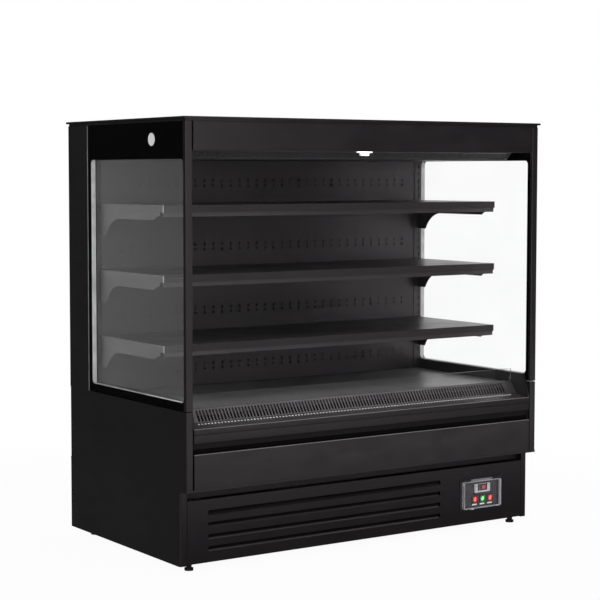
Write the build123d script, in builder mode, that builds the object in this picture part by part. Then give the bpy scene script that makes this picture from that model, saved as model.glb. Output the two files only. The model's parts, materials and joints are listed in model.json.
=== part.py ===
from build123d import *
from math import cos, radians, sin
import os

os.makedirs("parts", exist_ok=True)

# Open multideck display fridge with a plug-in cooling unit in its base, in millimetres.
# X runs to the right, Y to the back and Z up. The origin lies on the floor, under the
# middle of the cabinet. Depths are counted from the front of the posts.

# ---------------------------------------------------------------- cabinet sizes
WIDTH = 1500.0  # over the side walls
DEPTH = 825.0  # front of the posts to the back panel
FOOT_HEIGHT = 22.0
BASE_HEIGHT = 248.0
SILL_HEIGHT = 9.0
LOWER_PANEL_HEIGHT = 114.0
RECESS_HEIGHT = 35.0
BUMPER_HEIGHT = 49.0
LEDGE_TO_SEAM = 59.6  # bumper top to the joint under the posts
UPPER_HEIGHT = 933.4  # that joint to the top of the side glass
CAP_GAP = 8.0
CAP_THICKNESS = 7.0
CAP_OVERHANG = 6.0
SIDE_WALL = 26.0
REAR_WALL = 49.0
SHEET = 1.0  # folded steel sheet
PLATE = 2.0  # steel of the frame and the brackets
PANEL_GAP = 4.0  # front panels to the posts
FIT = 0.5  # between pieces that only lie beside each other

# ------------------------------------------------------------------------- base
BASE_SETBACK = 44.0
BASE_CORNER_RADIUS = 10.0
BASE_CORNER_WIDTH = 27.0
BASE_CORNER_RETURN = 13.0
BASE_PANEL_LIFT = 3.0
BASE_PANEL_HEIGHT = 210.0
BASE_PANEL_GAP = 1.5
PANEL_RETURN = 14.0  # folded edges of the front panels
REAR_PANEL_INSET = 12.0
LOUVRE_COUNT = 4
LOUVRE_MARGIN = 80.0  # left edge of the panel to the slots
LOUVRE_LENGTH = 978.0
LOUVRE_HEIGHT = 16.0
LOUVRE_PITCH = 40.0
LOUVRE_FIRST = 47.5  # base to the middle of the lowest slot
LOUVRE_BLADE = 13.0
REAR_SLOT_COUNT = 14
REAR_SLOT_WIDTH = 8.0
REAR_SLOT_HEIGHT = 110.0
REAR_SLOT_PITCH = 24.0
FRAME_FLANGE = 30.0
TRAY_FLANGE = 25.0
RAIL_SETBACK = 30.0  # base front to the rail in the dark recess
RAIL_HEIGHT = 42.0
FOOT_RADIUS = 15.0
FOOT_PAD = 8.0
FOOT_NUT = 9.0  # half the width over the flats
FOOT_STEM = 5.0
FOOT_STEM_REACH = 14.0
FOOT_INSET = 53.0  # from the side
FOOT_FRONT_INSET = 33.0  # from the base front
FOOT_REAR_INSET = 83.0  # from the back
HOLE_CLEARANCE = 0.5

# -------------------------------------------------------------- control station
CONTROL_WIDTH = 192.0
CONTROL_HEIGHT = 112.0
CONTROL_MARGIN = 99.5  # right edge of the front panel to the station
CONTROL_BOTTOM = 52.5  # base to the station
CONTROL_FLANGE = 4.0
CONTROL_THICKNESS = 2.0
CONTROL_RIM = 10.0
COVER_WIDTH = 174.0
COVER_HEIGHT = 99.0
COVER_DEPTH = 11.7
COVER_WALL = 2.0
COVER_GAP = 0.3
COVER_LUG = 10.0
COVER_LUG_DROP = 4.0
COVER_LUG_INSET = 36.0
HINGE_RADIUS = 3.5
HINGE_PIN = 1.5
HINGE_CLEARANCE = 0.05
HINGE_GAP = 0.8
HINGE_MIDDLE = 100.0  # length of the cover's own knuckle
HINGE_END = 32.0  # length of each knuckle of the station
HINGE_SPLIT = 2.0
CONTROLLER_WIDTH = 72.0
CONTROLLER_HEIGHT = 31.0
CONTROLLER_BEZEL = 4.0
CONTROLLER_BODY_WIDTH = 66.0
CONTROLLER_BODY_HEIGHT = 28.0
CONTROLLER_BODY_DEPTH = 55.0
CONTROLLER_RAISE = 22.0  # middle of the station to the controller
CONTROLLER_SHIFT = 4.0
WINDOW_WIDTH = 46.0
WINDOW_HEIGHT = 24.5
WINDOW_DEPTH = 1.2
WINDOW_RAISE = 2.2
KEY_WIDTH = 8.0
KEY_HEIGHT = 8.0
KEY_DEPTH = 3.1
KEY_PROUD = 0.6
KEY_GAP = 0.3
KEY_TRAVEL = 0.8
KEY_SPREAD = 29.5  # middle of the controller to a key
KEY_RAISE = 7.5
ROCKER_WIDTH = 20.0
ROCKER_HALF = 10.4
ROCKER_CROWN = 3.4
ROCKER_DISH = 1.0
ROCKER_DROP = 7.0  # depth of the rocker's keel
ROCKER_TILT = 8.0
ROCKER_GAP = 0.4
ROCKER_FRAME_EDGE = 3.0
ROCKER_FRAME_FACE = 2.0
ROCKER_CUP_WALL = 0.9
ROCKER_CUP_DEPTH = 15.0
ROCKER_CUP_FLOOR = 1.5
ROCKER_PIN = 1.0
ROCKER_PITCH = 36.0
ROCKER_SHIFT = 7.0
ROCKER_LOWER = 18.0  # middle of the station down to the rockers

# ----------------------------------------------------------------- cooling unit
CONDENSER_X = -170.0
CONDENSER_WIDTH = 340.0
CONDENSER_HEIGHT = 195.0
CONDENSER_THICKNESS = 42.0
CONDENSER_SETBACK = 26.0  # from the base front
CONDENSER_LIFT = 8.0
CONDENSER_FINS = 30
CONDENSER_TUBES = 4
SHROUD_GAP = 6.0
FIN = 1.0
TUBE_RADIUS = 5.0
CONDENSER_FAN_RADIUS = 88.0
FAN_CLEARANCE = 4.0
FAN_DEPTH = 24.0
FAN_HUB = 26.0
FAN_BLADES = 5
FAN_BLADE_PITCH = 32.0
FAN_BLADE_THICKNESS = 2.0
FAN_BLADE_CHORD = 0.62  # share of the blade's own radius
FAN_SHAFT = 4.0
SHAFT_CLEARANCE = 0.05
SHAFT_REACH = 18.0
FAN_STANDOFF = 5.0  # fan to its panel and to its motor
MOTOR_RADIUS = 32.0
MOTOR_LENGTH = 48.0
MOTOR_ARM = 12.0
COMPRESSOR_X = 200.0
COMPRESSOR_SETBACK = 470.0
COMPRESSOR_RADIUS = 72.0
COMPRESSOR_HEIGHT = 168.0
COMPRESSOR_DOME = 30.0
COMPRESSOR_FOOT = 180.0
COMPRESSOR_BUSH = 11.0
COMPRESSOR_BUSH_HEIGHT = 14.0
DRIP_X = -425.0
DRIP_SETBACK = 560.0
DRIP_WIDTH = 350.0
DRIP_DEPTH = 380.0
DRIP_HEIGHT = 55.0
DRAIN_RADIUS = 16.0
DRAIN_WALL = 2.5
DRAIN_SETBACK = 600.0
DRAIN_ABOVE_TRAY = 12.0
DRAIN_FLANGE = 26.0
SUCTION_RADIUS = 6.35
LIQUID_RADIUS = 4.75
PIPE_BEND = 24.0
PIPE_SLEEVE = 2.0  # clearance where a pipe passes through the floor
SUCTION_X = -620.0
SUCTION_SETBACK = 325.0
LIQUID_X = -600.0
LIQUID_SETBACK = 270.0
SUCTION_RUN = 225.0  # height of the suction line above the base
BOX_X = 540.0
BOX_WIDTH = 200.0
BOX_DEPTH = 80.0
BOX_HEIGHT = 160.0
BOX_SETBACK = 135.0
GLAND_RADIUS = 11.0
GLAND_LENGTH = 10.0
GLAND_X = 560.0
GLAND_RAISE = 90.0
CABLE_BORE = 5.0

# ---------------------------------------------------------- tub and lower front
TUB_SETBACK = 12.0
TUB_WALL = 38.0
TUB_FLOOR = 40.0
TUB_RIM_DROP = 19.0  # ledge down to the rim of the tub's front wall
SKIN_DROP = 95.0  # how far the liner hangs over the front of the tub
SEAM_GAP = 3.0
WALL_CORNER = 4.0
BUMPER_WALL = 2.5
BUMPER_BULGE = 2.5
BUMPER_TOP = 8.0  # depth of its rounded top edge
EVAPORATOR_WIDTH = 1120.0
EVAPORATOR_DEPTH = 150.0
EVAPORATOR_HEIGHT = 130.0
EVAPORATOR_SETBACK = 250.0
EVAPORATOR_LIFT = 12.0
EVAPORATOR_FINS = 44
EVAPORATOR_TUBES = 3
FAN_PANEL_SETBACK = 180.0
EVAPORATOR_FAN_RADIUS = 80.0
EVAPORATOR_FAN_X = 300.0
LINER_PAD = 9.0  # thickness of the side liners
LINER_START = 2.0  # depth where their front edge begins
LINER_SLANT = 28.0  # it leans back by this
LINER_TOP = 85.0  # above the ledge

# --------------------------------------------------------- deck, grille, riser
DECK_RISE = 48.0  # ledge to deck
DECK_SETBACK = 104.0
DECK_FLANGE = 20.0
GRILLE_SHEET = 1.5
GRILLE_HEM = 14.0  # depth of the grille's front hem
LEDGE_DEPTH = 58.0
LEDGE_RISE = 7.0
SLOPE_FOOT = 66.0
SLOPE_FOOT_RISE = 10.0
SLOPE_HEAD = 94.0
SLOPE_HEAD_RISE = 49.0
GRILLE_BACK = 97.5
GRILLE_BACK_RISE = 53.0
SLOT_COUNT = 104
SLOT_PITCH = 12.8
SLOT_WIDTH = 6.6
SLOT_LENGTH = 42.0
DOT_COUNT = 106
DOT_SIZE = 6.4
DOT_SETBACK = 5.0  # from the back of the ledge
RISER_THICKNESS = 4.0
RISER_HEIGHT = 64.0
RISER_CHANNEL = 19.0  # depth of the channel that the riser stands in
RISER_PLAY = 0.5

# ---------------------------------------------------------------- shelves, duct
DUCT_DEPTH = 124.0
SHELF_NAMES = ("bottom", "middle", "top")
SHELF_PITCH = 233.0
FIRST_SHELF = 206.0  # deck to the lowest shelf
SHELF_END_GAP = 10.0
SHELF_LIP_SETBACK = 203.0
SHELF_LIP = 39.0
SHELF_HEM = 12.0
SHELF_REAR_LIP = 20.0
SHELF_REAR_GAP = 1.0
SHELF_SIDE_FLANGE = 23.0
RAIL_PROUD = 5.0
RAIL_FACE = 24.0
UPRIGHT_WIDTH = 34.0
UPRIGHT_DEPTH = 20.0
UPRIGHT_STEPS = 8  # slots for each shelf pitch
UPRIGHT_SLOT_WIDTH = 3.8
UPRIGHT_SLOT_HEIGHT = 14.0
BRACKET_INSET = 13.0  # side wall to the middle of a bracket
BRACKET_THICKNESS = 3.0
BRACKET_FLANGE = 12.0
BRACKET_START = 24.0  # shelf lip to the bracket's nose
BRACKET_NOSE = 35.0
BRACKET_HEIGHT = 50.0
BRACKET_NOTCH = 40.0
BRACKET_ROOT = 112.0  # depth of its foot at the upright
BRACKET_ROOT_WIDTH = 45.0
BRACKET_GUSSET = 84.0
BRACKET_SAG = 13.5  # hollow of the arc between the arm and the foot
BRACKET_COVE = 4.0  # hollow of the arc under the nose
HOOK_LENGTH = 6.0
HOOK_HEIGHT = 10.0
DUCT_HOLE = 4.5
DUCT_HOLE_PITCH = 38.0
DUCT_HOLE_COLUMNS = 34
DUCT_HOLE_ROWS = 2
DUCT_HOLE_RISE = 70.0  # deck or shelf up to its row of holes

# --------------------------------------------------------------- glass, canopy
POST_DEPTH = 13.0
POST_WALL = 1.5
POST_CORNER = 3.0
REAR_SIDE_DEPTH = 146.0
PANE = 4.0
BORDER = 0.8
BORDER_BOTTOM = 26.0
BORDER_TOP = 121.0
BORDER_REAR = 22.0
BORDER_FRONT = 6.5
BORDER_INNER_FRONT = 16.0  # the same margin on the inner pane
BORDER_CORNER = 14.0
SPACER = 10.0
SPACER_FRONT = 6.0
PLUG_RADIUS = 22.0
PLUG_THICKNESS = 2.0
PLUG_SETBACK = 218.0
PLUG_DROP = 56.0  # top of the glass down to the round plugs
CANOPY_HEIGHT = 93.0
ROOF_THICKNESS = 37.0
PLINTH_INSET = 2.0
PLINTH_WALL = 14.0
SOFFIT_START = 72.0
SOFFIT_END = 113.0
OUTLET_RUN = 30.0
OUTLET_DROP = 25.0
OUTLET_THICKNESS = 8.0
OUTLET_CELL = 13.0
OUTLET_PITCH = 15.5
OUTLET_COLUMNS = 106
OUTLET_ROWS = 2
CEILING_DROP = 27.0  # canopy's lower edge down to the ceiling
LAMP_DEPTH = 25.0
LAMP_HEIGHT = 17.0
ROLLER_RADIUS = 20.0
ROLLER_WALL = 2.5
ROLLER_PLUG = 12.0
ROLLER_SETBACK = 78.0
ROLLER_RAISE = 31.0  # canopy's lower edge up to the roller
ROLLER_PIN = 4.0
ROLLER_PIN_LENGTH = 10.0
ROLLER_END_GAP = 8.0  # side wall to the blind's brackets
BLIND_CLEARANCE = 0.3
CLOTH = 0.8
CLOTH_INSET = 8.0
BAR_DEPTH = 14.0
BAR_HEIGHT = 14.0
BAR_RAISE = 2.0  # canopy's lower edge up to the bar
BAR_INSET = 3.0
BAR_WALL = 1.5
HANDLE_WIDTH = 64.0
HANDLE_TAB_WIDTH = 35.0
HANDLE_DEPTH = 9.0
HANDLE_BRIDGE = 6.0
HANDLE_TAB = 10.0
SCREW_HEAD = 5.0
SCREW_HEAD_HEIGHT = 2.5
SCREW_SHANK = 2.0
SCREW_LENGTH = 8.0
SCREW_INSET = 30.0
SCREW_ROWS = 4

# ------------------------------------------------------------- levels and edges
HALF = WIDTH / 2
INNER = HALF - SIDE_WALL
FRONT = -DEPTH / 2
BACK = DEPTH / 2
Z_BASE = FOOT_HEIGHT
Z_BODY = Z_BASE + BASE_HEIGHT
Z_SILL = Z_BODY + SILL_HEIGHT
Z_PANEL = Z_SILL + LOWER_PANEL_HEIGHT
Z_BUMPER = Z_PANEL + RECESS_HEIGHT
Z_LEDGE = Z_BUMPER + BUMPER_HEIGHT
Z_SEAM = Z_LEDGE + LEDGE_TO_SEAM
Z_TOP = Z_SEAM + UPPER_HEIGHT
Z_CAP = Z_TOP + CAP_GAP
Z_TUB = Z_SILL + TUB_FLOOR
Z_RIM = Z_LEDGE - TUB_RIM_DROP
Z_DECK = Z_LEDGE + DECK_RISE
Z_CANOPY = Z_TOP - CANOPY_HEIGHT
Z_ROOF = Z_TOP - ROOF_THICKNESS
Z_CEILING = Z_CANOPY - CEILING_DROP
BASE_FRONT = FRONT + BASE_SETBACK
BASE_BACK = BACK - REAR_PANEL_INSET
LINER_BACK = BACK - REAR_WALL
DUCT_FACE = LINER_BACK - DUCT_DEPTH
FRAME_HALF = HALF - SHEET - FIT
FLOOR_TOP = Z_BASE + PLATE
RAIL_TOP = Z_SILL - SHEET
BASE_PANEL_HALF = HALF - BASE_CORNER_WIDTH - BASE_PANEL_GAP
FRONT_PANEL_HALF = INNER - PANEL_GAP
CORE_HALF = INNER - FIT
LINING_HALF = INNER - LINER_PAD - FIT
GLASS_FRONT = FRONT + POST_DEPTH + FIT
GLASS_REAR = BACK - REAR_SIDE_DEPTH - FIT
GLASS_FOOT = Z_SEAM - SEAM_GAP
SHELF_HALF = INNER - SHELF_END_GAP
SCREW_X = CORE_HALF - SCREW_INSET / 2
BASE_SCREWS = [
    (x, z)
    for x in (-SCREW_X, SCREW_X)
    for z in (Z_BASE + SCREW_INSET, Z_BODY - SCREW_INSET)
]
REAR_SCREWS = [
    (x, Z_SILL + SCREW_INSET + (Z_ROOF - Z_SILL - 2 * SCREW_INSET) * row / (SCREW_ROWS - 1))
    for x in (-SCREW_X, SCREW_X)
    for row in range(SCREW_ROWS)
]
SHELF_LEVELS = [Z_DECK + FIRST_SHELF + SHELF_PITCH * step for step in range(len(SHELF_NAMES))]
FOOT_SPOTS = [
    (x, y)
    for x in (FOOT_INSET - HALF, HALF - FOOT_INSET)
    for y in (BASE_FRONT + FOOT_FRONT_INSET, BACK - FOOT_REAR_INSET)
]


def block(x_range, y_range, z_range, mode=Mode.ADD):
    """Add a box that reaches between two values on each axis."""
    spans = (x_range, y_range, z_range)
    with Locations(tuple((low + high) / 2 for low, high in spans)):
        Box(*[high - low for low, high in spans], mode=mode)


def both_ways(half):
    """Span from minus half to plus half."""
    return (-half, half)


def around(centre, size):
    """Span of a size around its middle."""
    return (centre - size / 2, centre + size / 2)


def rod(centre, radius, low, high, axis, mode=Mode.ADD):
    """Add a cylinder along X or Z, between two values on that axis."""
    turn = {"x": (0, 90, 0), "z": (0, 0, 0)}[axis]
    middle = (low + high) / 2
    spot = {"x": (middle, *centre), "z": (*centre, middle)}[axis]
    with Locations(Location(spot, turn)):
        Cylinder(radius, high - low, mode=mode)


def drum(x, z, radius, front, rear, mode=Mode.ADD):
    """Add a cylinder along Y, between two depths."""
    with Locations(Location((x, (front + rear) / 2, z), (90, 0, 0))):
        Cylinder(radius, rear - front, mode=mode)


def screw_holes(spots, front, rear):
    """Cut the holes of the screws at the back between two depths."""
    for x, z in spots:
        drum(x, z, SCREW_SHANK + HOLE_CLEARANCE, front, rear, Mode.SUBTRACT)


# ==================================================================== the base
with BuildPart() as levelling_feet:
    for x, y in FOOT_SPOTS:
        rod((x, y), FOOT_RADIUS, 0, FOOT_PAD, "z")
        with BuildSketch(Plane.XY.offset(FOOT_PAD)):
            with Locations((x, y)):
                RegularPolygon(FOOT_NUT, 6, major_radius=False)
        extrude(amount=FOOT_HEIGHT - FOOT_PAD)
        rod((x, y), FOOT_STEM, FOOT_HEIGHT, FOOT_HEIGHT + FOOT_STEM_REACH, "z")
levelling_feet.part.label = "levelling_feet"
export_step(levelling_feet.part, "parts/levelling_feet.step")

TRAY_FRONT = BASE_FRONT + PANEL_RETURN
TRAY_BACK = BASE_BACK - SHEET - FIT
RAIL_FRONT = BASE_FRONT + RAIL_SETBACK
RAIL_BOTTOM = RAIL_TOP - RAIL_HEIGHT

with BuildPart() as base_frame:
    block(both_ways(FRAME_HALF), (TRAY_FRONT, TRAY_BACK), (Z_BASE, FLOOR_TOP))
    for y in (TRAY_FRONT, TRAY_BACK - PLATE):
        block(both_ways(FRAME_HALF), (y, y + PLATE), (Z_BASE, Z_BASE + TRAY_FLANGE))
    for x in (-FRAME_HALF, FRAME_HALF - PLATE):
        block((x, x + PLATE), (TRAY_FRONT, TRAY_BACK), (Z_BASE, Z_BASE + TRAY_FLANGE))
        block((x, x + PLATE), (RAIL_FRONT, TRAY_BACK), (RAIL_BOTTOM, RAIL_TOP))
    for y in (RAIL_FRONT, TRAY_BACK - PLATE):
        block(both_ways(FRAME_HALF), (y, y + PLATE), (RAIL_BOTTOM, RAIL_TOP))
    for y in (RAIL_FRONT, TRAY_BACK - FRAME_FLANGE):
        block(both_ways(FRAME_HALF), (y, y + FRAME_FLANGE), (RAIL_TOP - PLATE, RAIL_TOP))
    for side in (-1, 1):
        outer, inner = side * FRAME_HALF, side * (FRAME_HALF - FRAME_FLANGE)
        web = sorted((outer, outer - side * PLATE))
        leg = sorted((outer, inner))
        block(web, (RAIL_FRONT, RAIL_FRONT + FRAME_FLANGE), (Z_BASE, RAIL_TOP))
        block(leg, (RAIL_FRONT, RAIL_FRONT + PLATE), (Z_BASE, RAIL_TOP))
        block(web, (TRAY_BACK - FRAME_FLANGE, TRAY_BACK), (Z_BASE, RAIL_TOP))
        block(leg, (TRAY_BACK - PLATE, TRAY_BACK), (Z_BASE, RAIL_TOP))
    for x, y in FOOT_SPOTS:
        rod((x, y), FOOT_STEM + HOLE_CLEARANCE, Z_BASE, FLOOR_TOP, "z", Mode.SUBTRACT)
    screw_holes(BASE_SCREWS, TRAY_BACK - PLATE, TRAY_BACK)
base_frame.part.label = "base_frame"
export_step(base_frame.part, "parts/base_frame.step")

with BuildPart() as base_side_panels:
    with BuildSketch(Plane.XY.offset(Z_BASE)):
        with BuildLine():
            FilletPolyline(
                (HALF - BASE_CORNER_RETURN, BACK),
                (HALF, BACK),
                (HALF, BASE_FRONT),
                (HALF - BASE_CORNER_WIDTH, BASE_FRONT),
                (HALF - BASE_CORNER_WIDTH, BASE_FRONT + BASE_CORNER_RETURN),
                radius=(SHEET, BASE_CORNER_RADIUS, SHEET),
            )
            offset(amount=SHEET, side=Side.RIGHT)
        make_face()
    extrude(amount=BASE_HEIGHT)
    mirror(about=Plane.YZ)
base_side_panels.part.label = "base_side_panels"
export_step(base_side_panels.part, "parts/base_side_panels.step")

PANEL_BOTTOM = Z_BASE + BASE_PANEL_LIFT
PANEL_TOP = PANEL_BOTTOM + BASE_PANEL_HEIGHT
CONTROL_X = BASE_PANEL_HALF - CONTROL_MARGIN - CONTROL_WIDTH / 2
CONTROL_Z = Z_BASE + CONTROL_BOTTOM + CONTROL_HEIGHT / 2
CONTROL_FACE = BASE_FRONT - CONTROL_THICKNESS
CONTROLLER_X = CONTROL_X + CONTROLLER_SHIFT
CONTROLLER_Z = CONTROL_Z + CONTROLLER_RAISE
LOUVRE_LEFT = -BASE_PANEL_HALF + LOUVRE_MARGIN
LOUVRE_SPAN = (LOUVRE_LEFT, LOUVRE_LEFT + LOUVRE_LENGTH)


with BuildPart() as base_front_panel:
    front_skin = (BASE_FRONT, BASE_FRONT + SHEET)
    fold = (BASE_FRONT, BASE_FRONT + PANEL_RETURN)
    block(both_ways(BASE_PANEL_HALF), front_skin, (PANEL_BOTTOM, PANEL_TOP))
    for z in (PANEL_BOTTOM, PANEL_TOP - SHEET):
        block(both_ways(BASE_PANEL_HALF), fold, (z, z + SHEET))
    for x in (-BASE_PANEL_HALF, BASE_PANEL_HALF - SHEET):
        block((x, x + SHEET), fold, (PANEL_BOTTOM, PANEL_TOP))
    for step in range(LOUVRE_COUNT):
        middle = Z_BASE + LOUVRE_FIRST + LOUVRE_PITCH * step
        block(LOUVRE_SPAN, front_skin, around(middle, LOUVRE_HEIGHT), Mode.SUBTRACT)
        low, root = middle - LOUVRE_HEIGHT / 2, BASE_FRONT + SHEET
        with BuildSketch(Plane.YZ.offset(LOUVRE_LEFT)):
            Polygon(
                (root, low - 2 * SHEET),
                (root + LOUVRE_BLADE, low - 2 * SHEET + LOUVRE_BLADE),
                (root + LOUVRE_BLADE, low + LOUVRE_BLADE),
                (root, low),
                align=None,
            )
        extrude(amount=LOUVRE_LENGTH)
    block(
        around(CONTROL_X, CONTROL_WIDTH),
        fold,
        around(CONTROL_Z, CONTROL_HEIGHT),
        Mode.SUBTRACT,
    )
base_front_panel.part.label = "base_front_panel"
export_step(base_front_panel.part, "parts/base_front_panel.step")

GLAND_Z = Z_BASE + GLAND_RAISE

with BuildPart() as base_rear_panel:
    block(both_ways(FRAME_HALF), (BASE_BACK - SHEET, BASE_BACK), (Z_BASE, Z_BODY))
    with BuildSketch(Plane.XZ.offset(-BASE_BACK)):
        with Locations((CONDENSER_X, Z_BASE + BASE_HEIGHT / 2)):
            with GridLocations(REAR_SLOT_PITCH, 1, REAR_SLOT_COUNT, 1):
                SlotOverall(REAR_SLOT_HEIGHT, REAR_SLOT_WIDTH, rotation=90)
        with Locations((GLAND_X, GLAND_Z)):
            Circle(GLAND_RADIUS - 2 * PLATE)
    extrude(amount=SHEET, mode=Mode.SUBTRACT)
    screw_holes(BASE_SCREWS, BASE_BACK - SHEET, BASE_BACK)
base_rear_panel.part.label = "base_rear_panel"
export_step(base_rear_panel.part, "parts/base_rear_panel.step")

# ========================================================== the control station
HINGE_Y = CONTROL_FACE - HINGE_RADIUS - HINGE_CLEARANCE
HINGE_Z = CONTROL_Z + COVER_HEIGHT / 2 + HINGE_RADIUS + HINGE_GAP
KNUCKLE_SPLIT = HINGE_MIDDLE / 2
BODY_HOLE = (
    around(CONTROLLER_X, CONTROLLER_BODY_WIDTH + 2 * HOLE_CLEARANCE),
    around(CONTROLLER_Z, CONTROLLER_BODY_HEIGHT + 2 * HOLE_CLEARANCE),
)
ROCKER_Z = CONTROL_Z - ROCKER_LOWER
ROCKER_SPOTS = [CONTROL_X + ROCKER_SHIFT + ROCKER_PITCH * step for step in (-1, 0, 1)]
ROCKER_MOUTH = ROCKER_WIDTH + 2 * ROCKER_GAP
ROCKER_REACH = (ROCKER_HALF**2 + ROCKER_CROWN**2) ** 0.5
ROCKER_MOUTH_HEIGHT = 2 * (ROCKER_REACH + ROCKER_GAP)
CUP_WIDTH = ROCKER_MOUTH + 2 * ROCKER_CUP_WALL
CUP_HEIGHT = ROCKER_MOUTH_HEIGHT + 2 * ROCKER_CUP_WALL
FRAME_FACE = CONTROL_FACE - ROCKER_FRAME_FACE
ROCKER_Y = CONTROL_FACE + ROCKER_PIN
CUP_BACK = CONTROL_FACE + ROCKER_CUP_DEPTH

with BuildPart() as control_panel:
    block(
        around(CONTROL_X, CONTROL_WIDTH + 2 * CONTROL_FLANGE),
        (CONTROL_FACE, BASE_FRONT),
        around(CONTROL_Z, CONTROL_HEIGHT + 2 * CONTROL_FLANGE),
    )
    rim = (BASE_FRONT, BASE_FRONT + CONTROL_RIM)
    rim_width, rim_height = CONTROL_WIDTH - 2 * FIT, CONTROL_HEIGHT - 2 * FIT
    block(around(CONTROL_X, rim_width), rim, around(CONTROL_Z, rim_height))
    block(
        around(CONTROL_X, rim_width - 2 * CONTROL_THICKNESS),
        rim,
        around(CONTROL_Z, rim_height - 2 * CONTROL_THICKNESS),
        Mode.SUBTRACT,
    )
    block(BODY_HOLE[0], (CONTROL_FACE, BASE_FRONT), BODY_HOLE[1], Mode.SUBTRACT)
    for x in ROCKER_SPOTS:
        block(
            around(x, CUP_WIDTH + FIT),
            (CONTROL_FACE, BASE_FRONT),
            around(ROCKER_Z, CUP_HEIGHT + FIT),
            Mode.SUBTRACT,
        )
    for side in (-1, 1):
        near = CONTROL_X + side * (KNUCKLE_SPLIT + HINGE_SPLIT)
        far = near + side * HINGE_END
        low, high = sorted((near, far))
        rod((HINGE_Y, HINGE_Z), HINGE_RADIUS, low, high, "x")
        block((low, high), (HINGE_Y, CONTROL_FACE), around(HINGE_Z, 2 * HINGE_RADIUS))
    pin_half = KNUCKLE_SPLIT + HINGE_SPLIT + HINGE_END / 2
    rod((HINGE_Y, HINGE_Z), HINGE_PIN, CONTROL_X - pin_half, CONTROL_X + pin_half, "x")
    for x in ROCKER_SPOTS:
        block(
            around(x, CUP_WIDTH + 2 * ROCKER_FRAME_EDGE),
            (FRAME_FACE, CONTROL_FACE),
            around(ROCKER_Z, CUP_HEIGHT + 2 * ROCKER_FRAME_EDGE),
        )
        block(around(x, CUP_WIDTH), (CONTROL_FACE, CUP_BACK), around(ROCKER_Z, CUP_HEIGHT))
        block(
            around(x, ROCKER_MOUTH),
            (FRAME_FACE, CUP_BACK - ROCKER_CUP_FLOOR),
            around(ROCKER_Z, ROCKER_MOUTH_HEIGHT),
            Mode.SUBTRACT,
        )
        rod(
            (ROCKER_Y, ROCKER_Z),
            ROCKER_PIN + HINGE_CLEARANCE,
            *around(x, CUP_WIDTH),
            "x",
            Mode.SUBTRACT,
        )
control_panel.part.label = "control_panel"
export_step(control_panel.part, "parts/control_panel.step")

COVER_BACK = CONTROL_FACE - COVER_GAP
COVER_FRONT = COVER_BACK - COVER_DEPTH
COVER_TOP = CONTROL_Z + COVER_HEIGHT / 2
COVER_FOOT = CONTROL_Z - COVER_HEIGHT / 2

with BuildPart() as control_cover:
    block(around(CONTROL_X, COVER_WIDTH), (COVER_FRONT, COVER_BACK), (COVER_FOOT, COVER_TOP))
    fillet(control_cover.edges().filter_by(Axis.Y), radius=2 * COVER_WALL)
    block(
        around(CONTROL_X, COVER_WIDTH - 2 * COVER_WALL),
        (COVER_FRONT + COVER_WALL, COVER_BACK),
        (COVER_FOOT + COVER_WALL, COVER_TOP - COVER_WALL),
        Mode.SUBTRACT,
    )
    knuckle = around(CONTROL_X, HINGE_MIDDLE)
    block(knuckle, around(HINGE_Y, 2 * COVER_WALL), (COVER_TOP - COVER_WALL, HINGE_Z))
    rod((HINGE_Y, HINGE_Z), HINGE_RADIUS, *knuckle, "x")
    rod((HINGE_Y, HINGE_Z), HINGE_PIN + HINGE_CLEARANCE, *knuckle, "x", Mode.SUBTRACT)
    lug_x = CONTROL_X - COVER_WIDTH / 2 + COVER_LUG_INSET
    block(
        (lug_x, lug_x + COVER_LUG),
        (COVER_FRONT + COVER_WALL, COVER_BACK),
        (COVER_FOOT - COVER_LUG_DROP, COVER_FOOT),
    )
control_cover.part.label = "control_cover"
export_step(control_cover.part, "parts/control_cover.step")

BEZEL_FRONT = CONTROL_FACE - CONTROLLER_BEZEL
KEY_BACK = BEZEL_FRONT - KEY_PROUD + KEY_DEPTH
KEY_NAMES = {
    "key_set": (-KEY_SPREAD, KEY_RAISE),
    "key_lamp": (-KEY_SPREAD, -KEY_RAISE),
    "key_up": (KEY_SPREAD, KEY_RAISE),
    "key_down": (KEY_SPREAD, -KEY_RAISE),
}

with BuildPart() as controller:
    block(
        around(CONTROLLER_X, CONTROLLER_WIDTH),
        (BEZEL_FRONT, CONTROL_FACE),
        around(CONTROLLER_Z, CONTROLLER_HEIGHT),
    )
    fillet(controller.edges().filter_by(Axis.Y), radius=COVER_WALL)
    block(
        around(CONTROLLER_X, CONTROLLER_BODY_WIDTH),
        (CONTROL_FACE, CONTROL_FACE + CONTROLLER_BODY_DEPTH),
        around(CONTROLLER_Z, CONTROLLER_BODY_HEIGHT),
    )
    block(
        around(CONTROLLER_X, WINDOW_WIDTH),
        (BEZEL_FRONT, BEZEL_FRONT + WINDOW_DEPTH),
        around(CONTROLLER_Z + WINDOW_RAISE, WINDOW_HEIGHT),
        Mode.SUBTRACT,
    )
    for x, z in KEY_NAMES.values():
        block(
            around(CONTROLLER_X + x, KEY_WIDTH + 2 * KEY_GAP),
            (BEZEL_FRONT, KEY_BACK + KEY_TRAVEL + KEY_GAP),
            around(CONTROLLER_Z + z, KEY_HEIGHT + 2 * KEY_GAP),
            Mode.SUBTRACT,
        )
controller.part.label = "controller"
export_step(controller.part, "parts/controller.step")

for name, (x, z) in KEY_NAMES.items():
    with BuildPart() as key:
        block(
            around(CONTROLLER_X + x, KEY_WIDTH),
            (KEY_BACK - KEY_DEPTH, KEY_BACK),
            around(CONTROLLER_Z + z, KEY_HEIGHT),
        )
        fillet(key.faces().sort_by(Axis.Y)[0].edges(), radius=KEY_PROUD / 2)
    key.part.label = name
    export_step(key.part, f"parts/{name}.step")


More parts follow.
